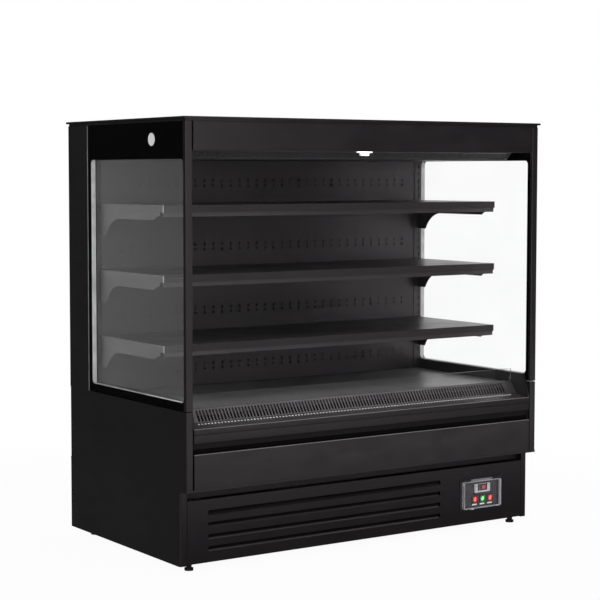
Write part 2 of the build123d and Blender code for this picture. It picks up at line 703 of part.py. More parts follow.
def tilted(height, proud):
    """Point of the rocker's side view, leaning back at its foot, as (y, z)."""
    lean = radians(ROCKER_TILT)
    y = -proud * cos(lean) - height * sin(lean)
    z = height * cos(lean) - proud * sin(lean)
    return (ROCKER_Y + y, ROCKER_Z + z)


for name, x in zip(("rocker_left", "rocker_middle", "rocker_right"), ROCKER_SPOTS):
    with BuildPart() as rocker:
        with BuildSketch(Plane.YZ.offset(x - ROCKER_WIDTH / 2)):
            Polygon(
                tilted(-ROCKER_HALF, ROCKER_CROWN),
                tilted(0, ROCKER_CROWN - ROCKER_DISH),
                tilted(ROCKER_HALF, ROCKER_CROWN),
                tilted(ROCKER_HALF, -ROCKER_PIN),
                tilted(ROCKER_PIN * 3, -ROCKER_DROP),
                tilted(-ROCKER_PIN * 3, -ROCKER_DROP),
                tilted(-ROCKER_HALF, -ROCKER_PIN),
                align=None,
            )
        extrude(amount=ROCKER_WIDTH)
        trunnion = around(x, CUP_WIDTH)
        rod((ROCKER_Y, ROCKER_Z), ROCKER_PIN, *trunnion, "x")
    rocker.part.label = name
    export_step(rocker.part, f"parts/{name}.step")

# ============================================================ the cooling unit


def fan_wheel(x, z, radius, front):
    """Impeller that turns about Y: a bored hub with pitched blades."""
    with BuildPart() as wheel:
        hub_back = front + FAN_DEPTH
        drum(x, z, FAN_HUB, front, hub_back)
        blade_length = radius - FAN_HUB / 2
        chord = FAN_BLADE_CHORD * blade_length
        turn = Location((x, (front + hub_back) / 2, z), (90, 0, 0))
        with Locations(turn):
            with PolarLocations(FAN_HUB / 2 + blade_length / 2, FAN_BLADES):
                Box(
                    blade_length,
                    min(chord, FAN_DEPTH / sin(radians(FAN_BLADE_PITCH)) - FAN_STANDOFF),
                    FAN_BLADE_THICKNESS,
                    rotation=(FAN_BLADE_PITCH, 0, 0),
                )
        drum(x, z, FAN_SHAFT + SHAFT_CLEARANCE, front, hub_back, Mode.SUBTRACT)
    return wheel


def fan_motor(x, z, radius, panel_back, fan_back):
    """Motor behind a fan: body, shaft and the arms that hold it to its panel."""
    front = fan_back + FAN_STANDOFF
    drum(x, z, MOTOR_RADIUS, front, front + MOTOR_LENGTH)
    drum(x, z, FAN_SHAFT, front - FAN_STANDOFF - SHAFT_REACH, front)
    reach = radius + FAN_CLEARANCE + MOTOR_ARM
    block(around(x, 2 * reach), (front, front + PLATE), around(z, MOTOR_ARM))
    for side in (-1, 1):
        post = around(x + side * (reach - MOTOR_ARM / 2), MOTOR_ARM)
        block(post, (panel_back, front + PLATE), around(z, MOTOR_ARM))


def coil_block(x_centre, width, y_range, z_range, fins, tubes):
    """Finned coil: end plates and fins on a row of tubes along X."""
    depth = y_range[1] - y_range[0]
    pitch = (width - 2 * FIN) / (fins - 1)
    for step in range(fins):
        x = x_centre - width / 2 + FIN / 2 + pitch * step
        block((x, x + FIN), y_range, z_range)
    for row in range(tubes):
        z = z_range[0] + (z_range[1] - z_range[0]) * (row + 0.5) / tubes
        for y in (y_range[0] + depth / 4, y_range[1] - depth / 4):
            rod((y, z), TUBE_RADIUS, *around(x_centre, width + 2 * TUBE_RADIUS), "x")


CONDENSER_FRONT = BASE_FRONT + CONDENSER_SETBACK
CONDENSER_BACK = CONDENSER_FRONT + CONDENSER_THICKNESS
CONDENSER_Z = FLOOR_TOP + CONDENSER_LIFT

with BuildPart() as condenser:
    coil_block(
        CONDENSER_X,
        CONDENSER_WIDTH,
        (CONDENSER_FRONT, CONDENSER_BACK),
        (CONDENSER_Z, CONDENSER_Z + CONDENSER_HEIGHT),
        CONDENSER_FINS,
        CONDENSER_TUBES,
    )
    for side in (-1, 1):
        x = CONDENSER_X + side * (CONDENSER_WIDTH / 2 - PLATE)
        foot = (FLOOR_TOP, CONDENSER_Z + CONDENSER_HEIGHT)
        block(around(x, PLATE), (CONDENSER_FRONT, CONDENSER_BACK + SHROUD_GAP), foot)
condenser.part.label = "condenser"
export_step(condenser.part, "parts/condenser.step")

FAN_Z = CONDENSER_Z + CONDENSER_HEIGHT / 2
SHROUD_FRONT = CONDENSER_BACK + SHROUD_GAP
SHROUD_BACK = SHROUD_FRONT + SHEET
CONDENSER_FAN_FRONT = SHROUD_BACK + FAN_STANDOFF

with BuildPart() as condenser_fan_shroud:
    block(
        around(CONDENSER_X, CONDENSER_WIDTH),
        (SHROUD_FRONT, SHROUD_BACK),
        (FLOOR_TOP, CONDENSER_Z + CONDENSER_HEIGHT),
    )
    hole = CONDENSER_FAN_RADIUS + FAN_CLEARANCE
    ring_back = SHROUD_BACK + FAN_STANDOFF
    drum(CONDENSER_X, FAN_Z, hole + PLATE, SHROUD_BACK, ring_back)
    drum(CONDENSER_X, FAN_Z, hole, SHROUD_FRONT, ring_back, Mode.SUBTRACT)
    fan_motor(
        CONDENSER_X,
        FAN_Z,
        CONDENSER_FAN_RADIUS,
        SHROUD_BACK,
        CONDENSER_FAN_FRONT + FAN_DEPTH,
    )
condenser_fan_shroud.part.label = "condenser_fan_shroud"
export_step(condenser_fan_shroud.part, "parts/condenser_fan_shroud.step")

condenser_fan = fan_wheel(CONDENSER_X, FAN_Z, CONDENSER_FAN_RADIUS, CONDENSER_FAN_FRONT)
condenser_fan.part.label = "condenser_fan"
export_step(condenser_fan.part, "parts/condenser_fan.step")

COMPRESSOR_Y = FRONT + COMPRESSOR_SETBACK
CAN_BOTTOM = FLOOR_TOP + COMPRESSOR_BUSH_HEIGHT
CAN_TOP = CAN_BOTTOM + PLATE + COMPRESSOR_HEIGHT

with BuildPart() as compressor:
    rod((COMPRESSOR_X, COMPRESSOR_Y), COMPRESSOR_RADIUS, CAN_BOTTOM + PLATE, CAN_TOP, "z")
    fillet(compressor.edges().sort_by(Axis.Z)[-1], radius=COMPRESSOR_DOME)
    block(
        around(COMPRESSOR_X, COMPRESSOR_FOOT),
        around(COMPRESSOR_Y, COMPRESSOR_FOOT),
        (CAN_BOTTOM, CAN_BOTTOM + PLATE),
    )
    spacing = COMPRESSOR_FOOT - 3 * COMPRESSOR_BUSH
    with Locations((COMPRESSOR_X, COMPRESSOR_Y, FLOOR_TOP + COMPRESSOR_BUSH_HEIGHT / 2)):
        with GridLocations(spacing, spacing, 2, 2):
            Cylinder(COMPRESSOR_BUSH, COMPRESSOR_BUSH_HEIGHT)
compressor.part.label = "compressor"
export_step(compressor.part, "parts/compressor.step")

DRAIN_Y = FRONT + DRAIN_SETBACK
DRIP_Y = FRONT + DRIP_SETBACK
DRIP_TOP = FLOOR_TOP + DRIP_HEIGHT

with BuildPart() as drip_tray:
    outer = (around(DRIP_X, DRIP_WIDTH), around(DRIP_Y, DRIP_DEPTH))
    block(*outer, (FLOOR_TOP, DRIP_TOP))
    block(
        around(DRIP_X, DRIP_WIDTH - 2 * PLATE),
        around(DRIP_Y, DRIP_DEPTH - 2 * PLATE),
        (FLOOR_TOP + PLATE, DRIP_TOP),
        Mode.SUBTRACT,
    )
drip_tray.part.label = "drip_tray"
export_step(drip_tray.part, "parts/drip_tray.step")

with BuildPart() as drain_pipe:
    foot, head = DRIP_TOP + DRAIN_ABOVE_TRAY, Z_TUB + SHEET
    rod((DRIP_X, DRAIN_Y), DRAIN_RADIUS, foot, head, "z")
    rod((DRIP_X, DRAIN_Y), DRAIN_FLANGE, head, head + PLATE, "z")
    rod((DRIP_X, DRAIN_Y), DRAIN_RADIUS - DRAIN_WALL, foot, head + PLATE, "z", Mode.SUBTRACT)
drain_pipe.part.label = "drain_pipe"
export_step(drain_pipe.part, "parts/drain_pipe.step")

EVAPORATOR_FRONT = FRONT + EVAPORATOR_SETBACK
EVAPORATOR_BACK = EVAPORATOR_FRONT + EVAPORATOR_DEPTH
EVAPORATOR_Z = Z_TUB + SHEET + EVAPORATOR_LIFT
EVAPORATOR_END = -EVAPORATOR_WIDTH / 2 - TUBE_RADIUS
SUCTION_Y = FRONT + SUCTION_SETBACK
LIQUID_Y = FRONT + LIQUID_SETBACK
HEADER_Z = EVAPORATOR_Z + EVAPORATOR_HEIGHT / 2
CONDENSER_END = CONDENSER_X + CONDENSER_WIDTH / 2 + TUBE_RADIUS
CONDENSER_MID = (CONDENSER_FRONT + CONDENSER_BACK) / 2
DISCHARGE_X = (CONDENSER_END + COMPRESSOR_X - COMPRESSOR_RADIUS) / 2
RUN_Z = Z_BASE + SUCTION_RUN
LIQUID_Z = CONDENSER_Z + CONDENSER_HEIGHT / 8
DISCHARGE_Z = CONDENSER_Z + CONDENSER_HEIGHT * 5 / 8

with BuildPart() as pipework:
    with BuildLine() as suction:
        FilletPolyline(
            (EVAPORATOR_END, SUCTION_Y, HEADER_Z),
            (SUCTION_X, SUCTION_Y, HEADER_Z),
            (SUCTION_X, SUCTION_Y, RUN_Z),
            (SUCTION_X, COMPRESSOR_Y, RUN_Z),
            (COMPRESSOR_X, COMPRESSOR_Y, RUN_Z),
            (COMPRESSOR_X, COMPRESSOR_Y, CAN_TOP),
            radius=PIPE_BEND,
        )
    with BuildSketch(Plane(suction.line @ 0, z_dir=suction.line % 0)):
        Circle(SUCTION_RADIUS)
    sweep(path=suction.line)
    with BuildLine() as discharge:
        FilletPolyline(
            (COMPRESSOR_X - COMPRESSOR_RADIUS, COMPRESSOR_Y, DISCHARGE_Z),
            (DISCHARGE_X, COMPRESSOR_Y, DISCHARGE_Z),
            (DISCHARGE_X, CONDENSER_MID, DISCHARGE_Z),
            (CONDENSER_END, CONDENSER_MID, DISCHARGE_Z),
            radius=PIPE_BEND,
        )
    with BuildSketch(Plane(discharge.line @ 0, z_dir=discharge.line % 0)):
        Circle(LIQUID_RADIUS)
    sweep(path=discharge.line)
    with BuildLine() as liquid:
        FilletPolyline(
            (CONDENSER_END, CONDENSER_MID, LIQUID_Z),
            (DISCHARGE_X, CONDENSER_MID, LIQUID_Z),
            (DISCHARGE_X, LIQUID_Y, LIQUID_Z),
            (LIQUID_X, LIQUID_Y, LIQUID_Z),
            (LIQUID_X, LIQUID_Y, HEADER_Z),
            (EVAPORATOR_END, LIQUID_Y, HEADER_Z),
            radius=PIPE_BEND / 2,
        )
    with BuildSketch(Plane(liquid.line @ 0, z_dir=liquid.line % 0)):
        Circle(LIQUID_RADIUS)
    sweep(path=liquid.line)
pipework.part.label = "pipework"
export_step(pipework.part, "parts/pipework.step")

BOX_Y = FRONT + BOX_SETBACK

with BuildPart() as electrical_box:
    block(
        around(BOX_X, BOX_WIDTH),
        (BOX_Y, BOX_Y + BOX_DEPTH),
        (FLOOR_TOP, FLOOR_TOP + BOX_HEIGHT),
    )
    offset(amount=-PLATE, openings=electrical_box.faces().sort_by(Axis.Y)[0])
    inlet = (BASE_BACK, BASE_BACK + GLAND_LENGTH)
    inlet_nut = (BASE_BACK - GLAND_LENGTH, BASE_BACK)
    drum(GLAND_X, GLAND_Z, GLAND_RADIUS, *inlet)
    chamfer(electrical_box.edges().sort_by(Axis.Y)[-1], length=PLATE)
    drum(GLAND_X, GLAND_Z, GLAND_RADIUS - 2 * PLATE, *inlet_nut)
    drum(GLAND_X, GLAND_Z, CABLE_BORE, inlet_nut[0], inlet[1], Mode.SUBTRACT)
electrical_box.part.label = "electrical_box"
export_step(electrical_box.part, "parts/electrical_box.step")

# ======================================================= sill, tub and insulation
PIPE_HOLES = [
    ((SUCTION_X, SUCTION_Y), SUCTION_RADIUS + PIPE_SLEEVE),
    ((LIQUID_X, LIQUID_Y), LIQUID_RADIUS + PIPE_SLEEVE),
    ((DRIP_X, DRAIN_Y), DRAIN_RADIUS + FIT),
]


def pipe_holes(low, high):
    """Cut the holes where the pipes and the drain pass through a floor."""
    for spot, radius in PIPE_HOLES:
        rod(spot, radius, low, high, "z", Mode.SUBTRACT)


with BuildPart() as body_sill:
    block(both_ways(HALF), (FRONT, BACK), (Z_BODY, Z_SILL))
    block(
        both_ways(HALF - SHEET),
        (FRONT + SHEET, BACK - SHEET),
        (Z_BODY, Z_SILL - SHEET),
        Mode.SUBTRACT,
    )
    pipe_holes(Z_BODY, Z_SILL)
body_sill.part.label = "body_sill"
export_step(body_sill.part, "parts/body_sill.step")

SKIN_FRONT = FRONT + TUB_SETBACK
TUB_FRONT = SKIN_FRONT + TUB_WALL

with BuildPart() as insulation_cores:
    block(both_ways(CORE_HALF), (SKIN_FRONT + SHEET, LINER_BACK), (Z_SILL, Z_TUB))
    pipe_holes(Z_SILL, Z_TUB)
    block(
        both_ways(CORE_HALF),
        (SKIN_FRONT + SHEET, TUB_FRONT - SHEET),
        (Z_TUB + FIT, Z_RIM - SHEET),
    )
    block(both_ways(CORE_HALF), (LINER_BACK + SHEET, BACK - SHEET), (Z_SILL, Z_ROOF))
    block(
        both_ways(CORE_HALF - SHEET),
        (FRONT + PANEL_RETURN + FIT + SHEET, BACK - SHEET),
        (Z_ROOF + SHEET, Z_TOP - SHEET),
    )
    for side in (-1, 1):
        across = sorted((side * (INNER + SHEET + FIT), side * (HALF - SHEET - FIT)))
        lower = (FRONT + WALL_CORNER, BACK - WALL_CORNER)
        upper = (BACK - REAR_SIDE_DEPTH + SHEET + FIT, BACK - SHEET - FIT)
        block(across, lower, (Z_SILL, GLASS_FOOT - SHEET - FIT))
        block(across, upper, (GLASS_FOOT + FIT, Z_TOP))
    screw_holes(REAR_SCREWS, BACK - SCREW_LENGTH, BACK - SHEET)
insulation_cores.part.label = "insulation_cores"
export_step(insulation_cores.part, "parts/insulation_cores.step")

PAD_OUTLINE = [
    (TUB_FRONT, Z_RIM + FIT),
    (SKIN_FRONT + SHEET + FIT, Z_RIM + FIT),
    (SKIN_FRONT + SHEET + FIT, Z_LEDGE + FIT),
    (FRONT + LINER_START, Z_LEDGE + FIT),
    (FRONT + LINER_START + LINER_SLANT, Z_LEDGE + LINER_TOP),
    (DUCT_FACE - FIT, Z_LEDGE + LINER_TOP),
    (DUCT_FACE - FIT, Z_RIM + FIT),
]

with BuildPart() as inner_liner:
    skin = (SKIN_FRONT, SKIN_FRONT + SHEET)
    block(both_ways(CORE_HALF), skin, (Z_RIM - SKIN_DROP, Z_RIM))
    block(both_ways(CORE_HALF), (SKIN_FRONT, TUB_FRONT), (Z_RIM - SHEET, Z_RIM))
    block(both_ways(CORE_HALF), (TUB_FRONT - SHEET, TUB_FRONT), (Z_TUB, Z_RIM))
    block(both_ways(CORE_HALF), (TUB_FRONT + FIT, LINER_BACK - FIT), (Z_TUB, Z_TUB + SHEET))
    pipe_holes(Z_TUB, Z_TUB + SHEET)
    block(both_ways(CORE_HALF), (LINER_BACK, LINER_BACK + SHEET), (Z_TUB, Z_ROOF))
    for side in (-1, 1):
        pad_face = side * (INNER - LINER_PAD)
        with BuildSketch(Plane.YZ.offset(pad_face)):
            Polygon(*PAD_OUTLINE, align=None)
        extrude(amount=side * LINER_PAD)
        with BuildSketch(Plane.YZ.offset(pad_face + side * SHEET)):
            Polygon(*PAD_OUTLINE, align=None)
            offset(amount=-SHEET)
        extrude(amount=side * (LINER_PAD - SHEET), mode=Mode.SUBTRACT)
inner_liner.part.label = "inner_liner"
export_step(inner_liner.part, "parts/inner_liner.step")

with BuildPart() as lower_side_panels:
    with BuildSketch(Plane.XY.offset(Z_SILL)):
        with Locations(((INNER + HALF) / 2, 0)):
            RectangleRounded(SIDE_WALL, DEPTH, WALL_CORNER)
            offset(amount=-SHEET, mode=Mode.SUBTRACT)
    extrude(amount=GLASS_FOOT - Z_SILL)
    with BuildSketch(Plane.XY.offset(GLASS_FOOT - SHEET)):
        with Locations(((INNER + HALF) / 2, 0)):
            RectangleRounded(SIDE_WALL, DEPTH, WALL_CORNER)
    extrude(amount=SHEET)
    mirror(about=Plane.YZ)
lower_side_panels.part.label = "lower_side_panels"
export_step(lower_side_panels.part, "parts/lower_side_panels.step")

with BuildPart() as lower_front_panel:
    panel_skin = (FRONT, FRONT + SHEET)
    fold = (FRONT, SKIN_FRONT)
    block(both_ways(FRONT_PANEL_HALF), panel_skin, (Z_SILL, Z_PANEL))
    for z in (Z_SILL, Z_PANEL - SHEET):
        block(both_ways(FRONT_PANEL_HALF), fold, (z, z + SHEET))
    for x in (-FRONT_PANEL_HALF, FRONT_PANEL_HALF - SHEET):
        block((x, x + SHEET), fold, (Z_SILL, Z_PANEL))
lower_front_panel.part.label = "lower_front_panel"
export_step(lower_front_panel.part, "parts/lower_front_panel.step")

with BuildPart() as front_bumper:
    with BuildSketch(Plane.YZ.offset(-FRONT_PANEL_HALF)):
        with BuildLine():
            middle = (Z_BUMPER + Z_LEDGE) / 2
            foot = (FRONT + BUMPER_BULGE, Z_BUMPER)
            shoulder = (FRONT + BUMPER_BULGE, Z_LEDGE - BUMPER_TOP / 2)
            ThreePointArc(foot, (FRONT, middle), shoulder)
            RadiusArc(shoulder, (FRONT + BUMPER_TOP, Z_LEDGE), BUMPER_TOP)
            Polyline(
                (FRONT + BUMPER_TOP, Z_LEDGE),
                (SKIN_FRONT, Z_LEDGE),
                (SKIN_FRONT, Z_LEDGE - BUMPER_WALL),
                (FRONT + BUMPER_TOP, Z_LEDGE - BUMPER_WALL),
                (FRONT + BUMPER_BULGE + BUMPER_WALL, Z_LEDGE - BUMPER_TOP),
                (FRONT + BUMPER_BULGE + BUMPER_WALL, Z_BUMPER + BUMPER_WALL),
                (SKIN_FRONT, Z_BUMPER + BUMPER_WALL),
                (SKIN_FRONT, Z_BUMPER),
                foot,
            )
        make_face()
    extrude(amount=2 * FRONT_PANEL_HALF)
front_bumper.part.label = "front_bumper"
export_step(front_bumper.part, "parts/front_bumper.step")

# ============================================================ evaporator and fans
with BuildPart() as evaporator:
    coil_block(
        0,
        EVAPORATOR_WIDTH,
        (EVAPORATOR_FRONT, EVAPORATOR_BACK),
        (EVAPORATOR_Z, EVAPORATOR_Z + EVAPORATOR_HEIGHT),
        EVAPORATOR_FINS,
        EVAPORATOR_TUBES,
    )
    for side in (-1, 1):
        x = side * (EVAPORATOR_WIDTH / 2 - PLATE)
        coil = (EVAPORATOR_FRONT, EVAPORATOR_BACK)
        block(around(x, PLATE), coil, (Z_TUB + SHEET, EVAPORATOR_Z + EVAPORATOR_HEIGHT))
evaporator.part.label = "evaporator"
export_step(evaporator.part, "parts/evaporator.step")

FAN_PANEL_FRONT = FRONT + FAN_PANEL_SETBACK
FAN_PANEL_BACK = FAN_PANEL_FRONT + SHEET
FAN_PANEL_TOP = Z_DECK - SHEET
TUB_FAN_Z = (Z_TUB + SHEET + FAN_PANEL_TOP) / 2
TUB_FAN_FRONT = FAN_PANEL_FRONT - FAN_STANDOFF - FAN_DEPTH
FAN_SPOTS = {"evaporator_fan_left": -EVAPORATOR_FAN_X, "evaporator_fan_right": EVAPORATOR_FAN_X}

with BuildPart() as evaporator_fan_panel:
    block(
        both_ways(LINING_HALF),
        (FAN_PANEL_FRONT, FAN_PANEL_BACK),
        (Z_TUB + SHEET, FAN_PANEL_TOP),
    )
    block(
        both_ways(LINING_HALF),
        (FAN_PANEL_BACK, FAN_PANEL_BACK + PANEL_RETURN),
        (FAN_PANEL_TOP - SHEET, FAN_PANEL_TOP),
    )
    for x in FAN_SPOTS.values():
        drum(
            x,
            TUB_FAN_Z,
            EVAPORATOR_FAN_RADIUS + FAN_CLEARANCE,
            FAN_PANEL_FRONT,
            FAN_PANEL_BACK,
            Mode.SUBTRACT,
        )
        arm = EVAPORATOR_FAN_RADIUS + FAN_CLEARANCE + MOTOR_ARM
        back = FAN_PANEL_BACK + PLATE
        block(around(x, 2 * arm), (FAN_PANEL_BACK, back), around(TUB_FAN_Z, MOTOR_ARM))
        drum(x, TUB_FAN_Z, MOTOR_RADIUS, FAN_PANEL_BACK, FAN_PANEL_BACK + MOTOR_LENGTH)
        drum(x, TUB_FAN_Z, FAN_SHAFT, TUB_FAN_FRONT + FAN_STANDOFF, FAN_PANEL_BACK)
evaporator_fan_panel.part.label = "evaporator_fan_panel"
export_step(evaporator_fan_panel.part, "parts/evaporator_fan_panel.step")

for name, x in FAN_SPOTS.items():
    evaporator_fan = fan_wheel(x, TUB_FAN_Z, EVAPORATOR_FAN_RADIUS, TUB_FAN_FRONT)
    evaporator_fan.part.label = name
    export_step(evaporator_fan.part, f"parts/{name}.step")

# ======================================================== deck, grille and riser
DECK_FRONT = FRONT + DECK_SETBACK
DECK_BACK = DUCT_FACE - SHELF_REAR_GAP

with BuildPart() as deck_panels:
    for side in (-1, 1):
        near, far = side * FIT, side * LINING_HALF
        sheet_x = sorted((near, far))
        block(sheet_x, (DECK_FRONT, DECK_BACK), (Z_DECK - SHEET, Z_DECK))
        for y in (DECK_FRONT, DECK_BACK - SHEET):
            block(sheet_x, (y, y + SHEET), (Z_DECK - DECK_FLANGE, Z_DECK))
        for x in (near, far - side * SHEET):
            edge = sorted((x, x + side * SHEET))
            block(edge, (DECK_FRONT, FAN_PANEL_FRONT), (Z_DECK - DECK_FLANGE, Z_DECK))
deck_panels.part.label = "deck_panels"
export_step(deck_panels.part, "parts/deck_panels.step")

GRILLE_POINTS = [
    (FRONT + GRILLE_HEM, Z_RIM),
    (FRONT + GRILLE_HEM, Z_LEDGE),
    (FRONT + LEDGE_DEPTH, Z_LEDGE + LEDGE_RISE),
    (FRONT + SLOPE_FOOT, Z_LEDGE + SLOPE_FOOT_RISE),
    (FRONT + SLOPE_HEAD, Z_LEDGE + SLOPE_HEAD_RISE),
    (FRONT + GRILLE_BACK, Z_LEDGE + GRILLE_BACK_RISE),
]
GRILLE_HEAD_Y, GRILLE_HEAD_Z = GRILLE_POINTS[-1]
CHANNEL_Z = GRILLE_HEAD_Z - RISER_CHANNEL
CHANNEL_END = DECK_FRONT - RISER_PLAY
LEDGE_DIRECTION = Vector(0, LEDGE_DEPTH - GRILLE_HEM, LEDGE_RISE).normalized()
SLOPE_DIRECTION = Vector(0, SLOPE_HEAD - SLOPE_FOOT, SLOPE_HEAD_RISE - SLOPE_FOOT_RISE)
SLOPE_MIDDLE = Vector(
    0,
    FRONT + (SLOPE_FOOT + SLOPE_HEAD) / 2,
    Z_LEDGE + (SLOPE_FOOT_RISE + SLOPE_HEAD_RISE) / 2,
)
LEDGE_BACK = Vector(0, FRONT + LEDGE_DEPTH, Z_LEDGE + LEDGE_RISE)

with BuildPart() as air_return_grille:
    with BuildSketch(Plane.YZ.offset(-LINING_HALF)):
        with BuildLine():
            Polyline(
                *GRILLE_POINTS,
                (GRILLE_HEAD_Y, CHANNEL_Z),
                (CHANNEL_END, CHANNEL_Z),
            )
            offset(amount=GRILLE_SHEET, kind=Kind.INTERSECTION, side=Side.RIGHT)
        make_face()
    extrude(amount=2 * LINING_HALF)
    slope = Plane(SLOPE_MIDDLE, x_dir=(1, 0, 0), z_dir=Vector(1, 0, 0).cross(SLOPE_DIRECTION))
    with BuildSketch(slope):
        with GridLocations(SLOT_PITCH, 1, SLOT_COUNT, 1):
            SlotOverall(SLOT_LENGTH, SLOT_WIDTH, rotation=90)
    extrude(amount=2 * GRILLE_SHEET, both=True, mode=Mode.SUBTRACT)
    ledge_spot = LEDGE_BACK - LEDGE_DIRECTION * DOT_SETBACK
    ledge = Plane(ledge_spot, x_dir=(1, 0, 0), z_dir=Vector(1, 0, 0).cross(LEDGE_DIRECTION))
    with BuildSketch(ledge):
        with GridLocations(SLOT_PITCH, 1, DOT_COUNT, 1):
            Rectangle(DOT_SIZE, DOT_SIZE)
    extrude(amount=2 * GRILLE_SHEET, both=True, mode=Mode.SUBTRACT)
air_return_grille.part.label = "air_return_grille"
export_step(air_return_grille.part, "parts/air_return_grille.step")

with BuildPart() as deck_riser:
    riser_front = GRILLE_HEAD_Y + RISER_PLAY
    block(
        both_ways(LINING_HALF),
        (riser_front, riser_front + RISER_THICKNESS),
        (CHANNEL_Z, CHANNEL_Z + RISER_HEIGHT),
    )
    top_edges = deck_riser.edges().filter_by(Axis.X).group_by(Axis.Z)[-1]
    fillet(top_edges, radius=RISER_THICKNESS / 4)
deck_riser.part.label = "deck_riser"
export_step(deck_riser.part, "parts/deck_riser.step")

# ================================================================ rear and duct
with BuildPart() as rear_panel:
    block(both_ways(CORE_HALF), (BACK - SHEET, BACK), (Z_SILL, Z_ROOF))
    screw_holes(REAR_SCREWS, BACK - SHEET, BACK)
rear_panel.part.label = "rear_panel"
export_step(rear_panel.part, "parts/rear_panel.step")

with BuildPart() as rear_side_panels:
    with BuildSketch(Plane.XY.offset(GLASS_FOOT)):
        with Locations(((INNER + HALF) / 2, BACK - REAR_SIDE_DEPTH / 2)):
            Rectangle(SIDE_WALL, REAR_SIDE_DEPTH)
            Rectangle(SIDE_WALL - 2 * SHEET, REAR_SIDE_DEPTH - 2 * SHEET, mode=Mode.SUBTRACT)
    extrude(amount=Z_TOP - GLASS_FOOT)
    mirror(about=Plane.YZ)
rear_side_panels.part.label = "rear_side_panels"
export_step(rear_side_panels.part, "parts/rear_side_panels.step")

UPRIGHT_NEAR = INNER - FIT - UPRIGHT_WIDTH
BRACKET_X = INNER - BRACKET_INSET
SLOT_STEP = SHELF_PITCH / UPRIGHT_STEPS
UPRIGHT_FIRST = SHELF_LEVELS[0] - SHEET - PLATE - HOOK_HEIGHT
UPRIGHT_SLOTS = UPRIGHT_STEPS * len(SHELF_NAMES) + 2
UPRIGHT_LAST = UPRIGHT_FIRST + SLOT_STEP * (UPRIGHT_SLOTS - UPRIGHT_STEPS // 2 - 1)

with BuildPart() as shelf_uprights:
    block((UPRIGHT_NEAR, CORE_HALF), (DUCT_FACE, DUCT_FACE + PLATE), (Z_TUB + SHEET, Z_ROOF))
    for x in (UPRIGHT_NEAR, CORE_HALF - PLATE):
        block((x, x + PLATE), (DUCT_FACE, DUCT_FACE + UPRIGHT_DEPTH), (Z_TUB + SHEET, Z_ROOF))
    slot_middle = UPRIGHT_LAST - SLOT_STEP * (UPRIGHT_SLOTS - 1) / 2
    with BuildSketch(Plane.XZ.offset(-DUCT_FACE)):
        with Locations((BRACKET_X, slot_middle)):
            with GridLocations(1, SLOT_STEP, 1, UPRIGHT_SLOTS):
                Rectangle(UPRIGHT_SLOT_WIDTH, UPRIGHT_SLOT_HEIGHT)
    extrude(amount=-PLATE, mode=Mode.SUBTRACT)
    mirror(about=Plane.YZ)
shelf_uprights.part.label = "shelf_uprights"
export_step(shelf_uprights.part, "parts/shelf_uprights.step")

PANEL_HALF = UPRIGHT_NEAR - FIT
OUTLET_BACK = FRONT + SOFFIT_END + OUTLET_RUN
PANEL_FRONT = DUCT_FACE + PLATE
HOLE_LEVELS = [Z_DECK + DUCT_HOLE_RISE] + [z + DUCT_HOLE_RISE for z in SHELF_LEVELS]

with BuildPart() as duct_panels:
    duct_z = (Z_DECK + FIT, Z_CEILING - SHEET)
    block(both_ways(PANEL_HALF), (PANEL_FRONT, PANEL_FRONT + SHEET), duct_z)
    with BuildSketch(Plane.XZ.offset(-PANEL_FRONT)):
        for level in HOLE_LEVELS:
            with Locations((0, level)):
                with GridLocations(
                    DUCT_HOLE_PITCH, DUCT_HOLE_PITCH / 2, DUCT_HOLE_COLUMNS, DUCT_HOLE_ROWS
                ):
                    Circle(DUCT_HOLE)
    extrude(amount=-SHEET, mode=Mode.SUBTRACT)
    block(both_ways(PANEL_HALF), (OUTLET_BACK, PANEL_FRONT + SHEET), (Z_CEILING - SHEET, Z_CEILING))
    for side in (-1, 1):
        strip = sorted((side * PANEL_HALF, side * CORE_HALF))
        block(strip, (OUTLET_BACK, DUCT_FACE - FIT), (Z_CEILING - SHEET, Z_CEILING))
duct_panels.part.label = "duct_panels"
export_step(duct_panels.part, "parts/duct_panels.step")

# ===================================================================== shelves
SHELF_FRONT = FRONT + SHELF_LIP_SETBACK
SHELF_BACK = DUCT_FACE - SHELF_REAR_GAP

for name, level in zip(SHELF_NAMES, SHELF_LEVELS):
    with BuildPart() as shelf:
        with BuildSketch(Plane.YZ.offset(-SHELF_HALF)):
            with BuildLine():
                Polyline(
                    (SHELF_FRONT + SHELF_HEM, level - SHELF_LIP),
                    (SHELF_FRONT, level - SHELF_LIP),
                    (SHELF_FRONT, level),
                    (SHELF_BACK, level),
                    (SHELF_BACK, level - SHELF_REAR_LIP),
                )
                offset(amount=SHEET, kind=Kind.INTERSECTION, side=Side.RIGHT)
            make_face()
        extrude(amount=2 * SHELF_HALF)
        for side in (-1, 1):
            block(
                around(side * BRACKET_X, BRACKET_THICKNESS + 2 * FIT),
                (SHELF_BACK - SHEET, SHELF_BACK),
                (level - SHELF_REAR_LIP, level - SHEET),
                Mode.SUBTRACT,
            )
            edge = sorted((side * SHELF_HALF, side * (SHELF_HALF - SHEET)))
            block(edge, (SHELF_FRONT, SHELF_BACK), (level - SHELF_SIDE_FLANGE, level))
    shelf.part.label = f"shelf_{name}"
    export_step(shelf.part, f"parts/shelf_{name}.step")

with BuildPart() as price_rails:
    for level in SHELF_LEVELS:
        with BuildSketch(Plane.YZ.offset(-SHELF_HALF)):
            with BuildLine():
                Polyline(
                    (SHELF_FRONT, level - RAIL_FACE),
                    (SHELF_FRONT - RAIL_PROUD, level - RAIL_FACE),
                    (SHELF_FRONT - RAIL_PROUD, level),
                    (SHELF_FRONT, level),
                )
                offset(amount=SHEET, kind=Kind.INTERSECTION, side=Side.RIGHT)
            make_face()
        extrude(amount=2 * SHELF_HALF)
price_rails.part.label = "price_rails"
export_step(price_rails.part, "parts/price_rails.step")

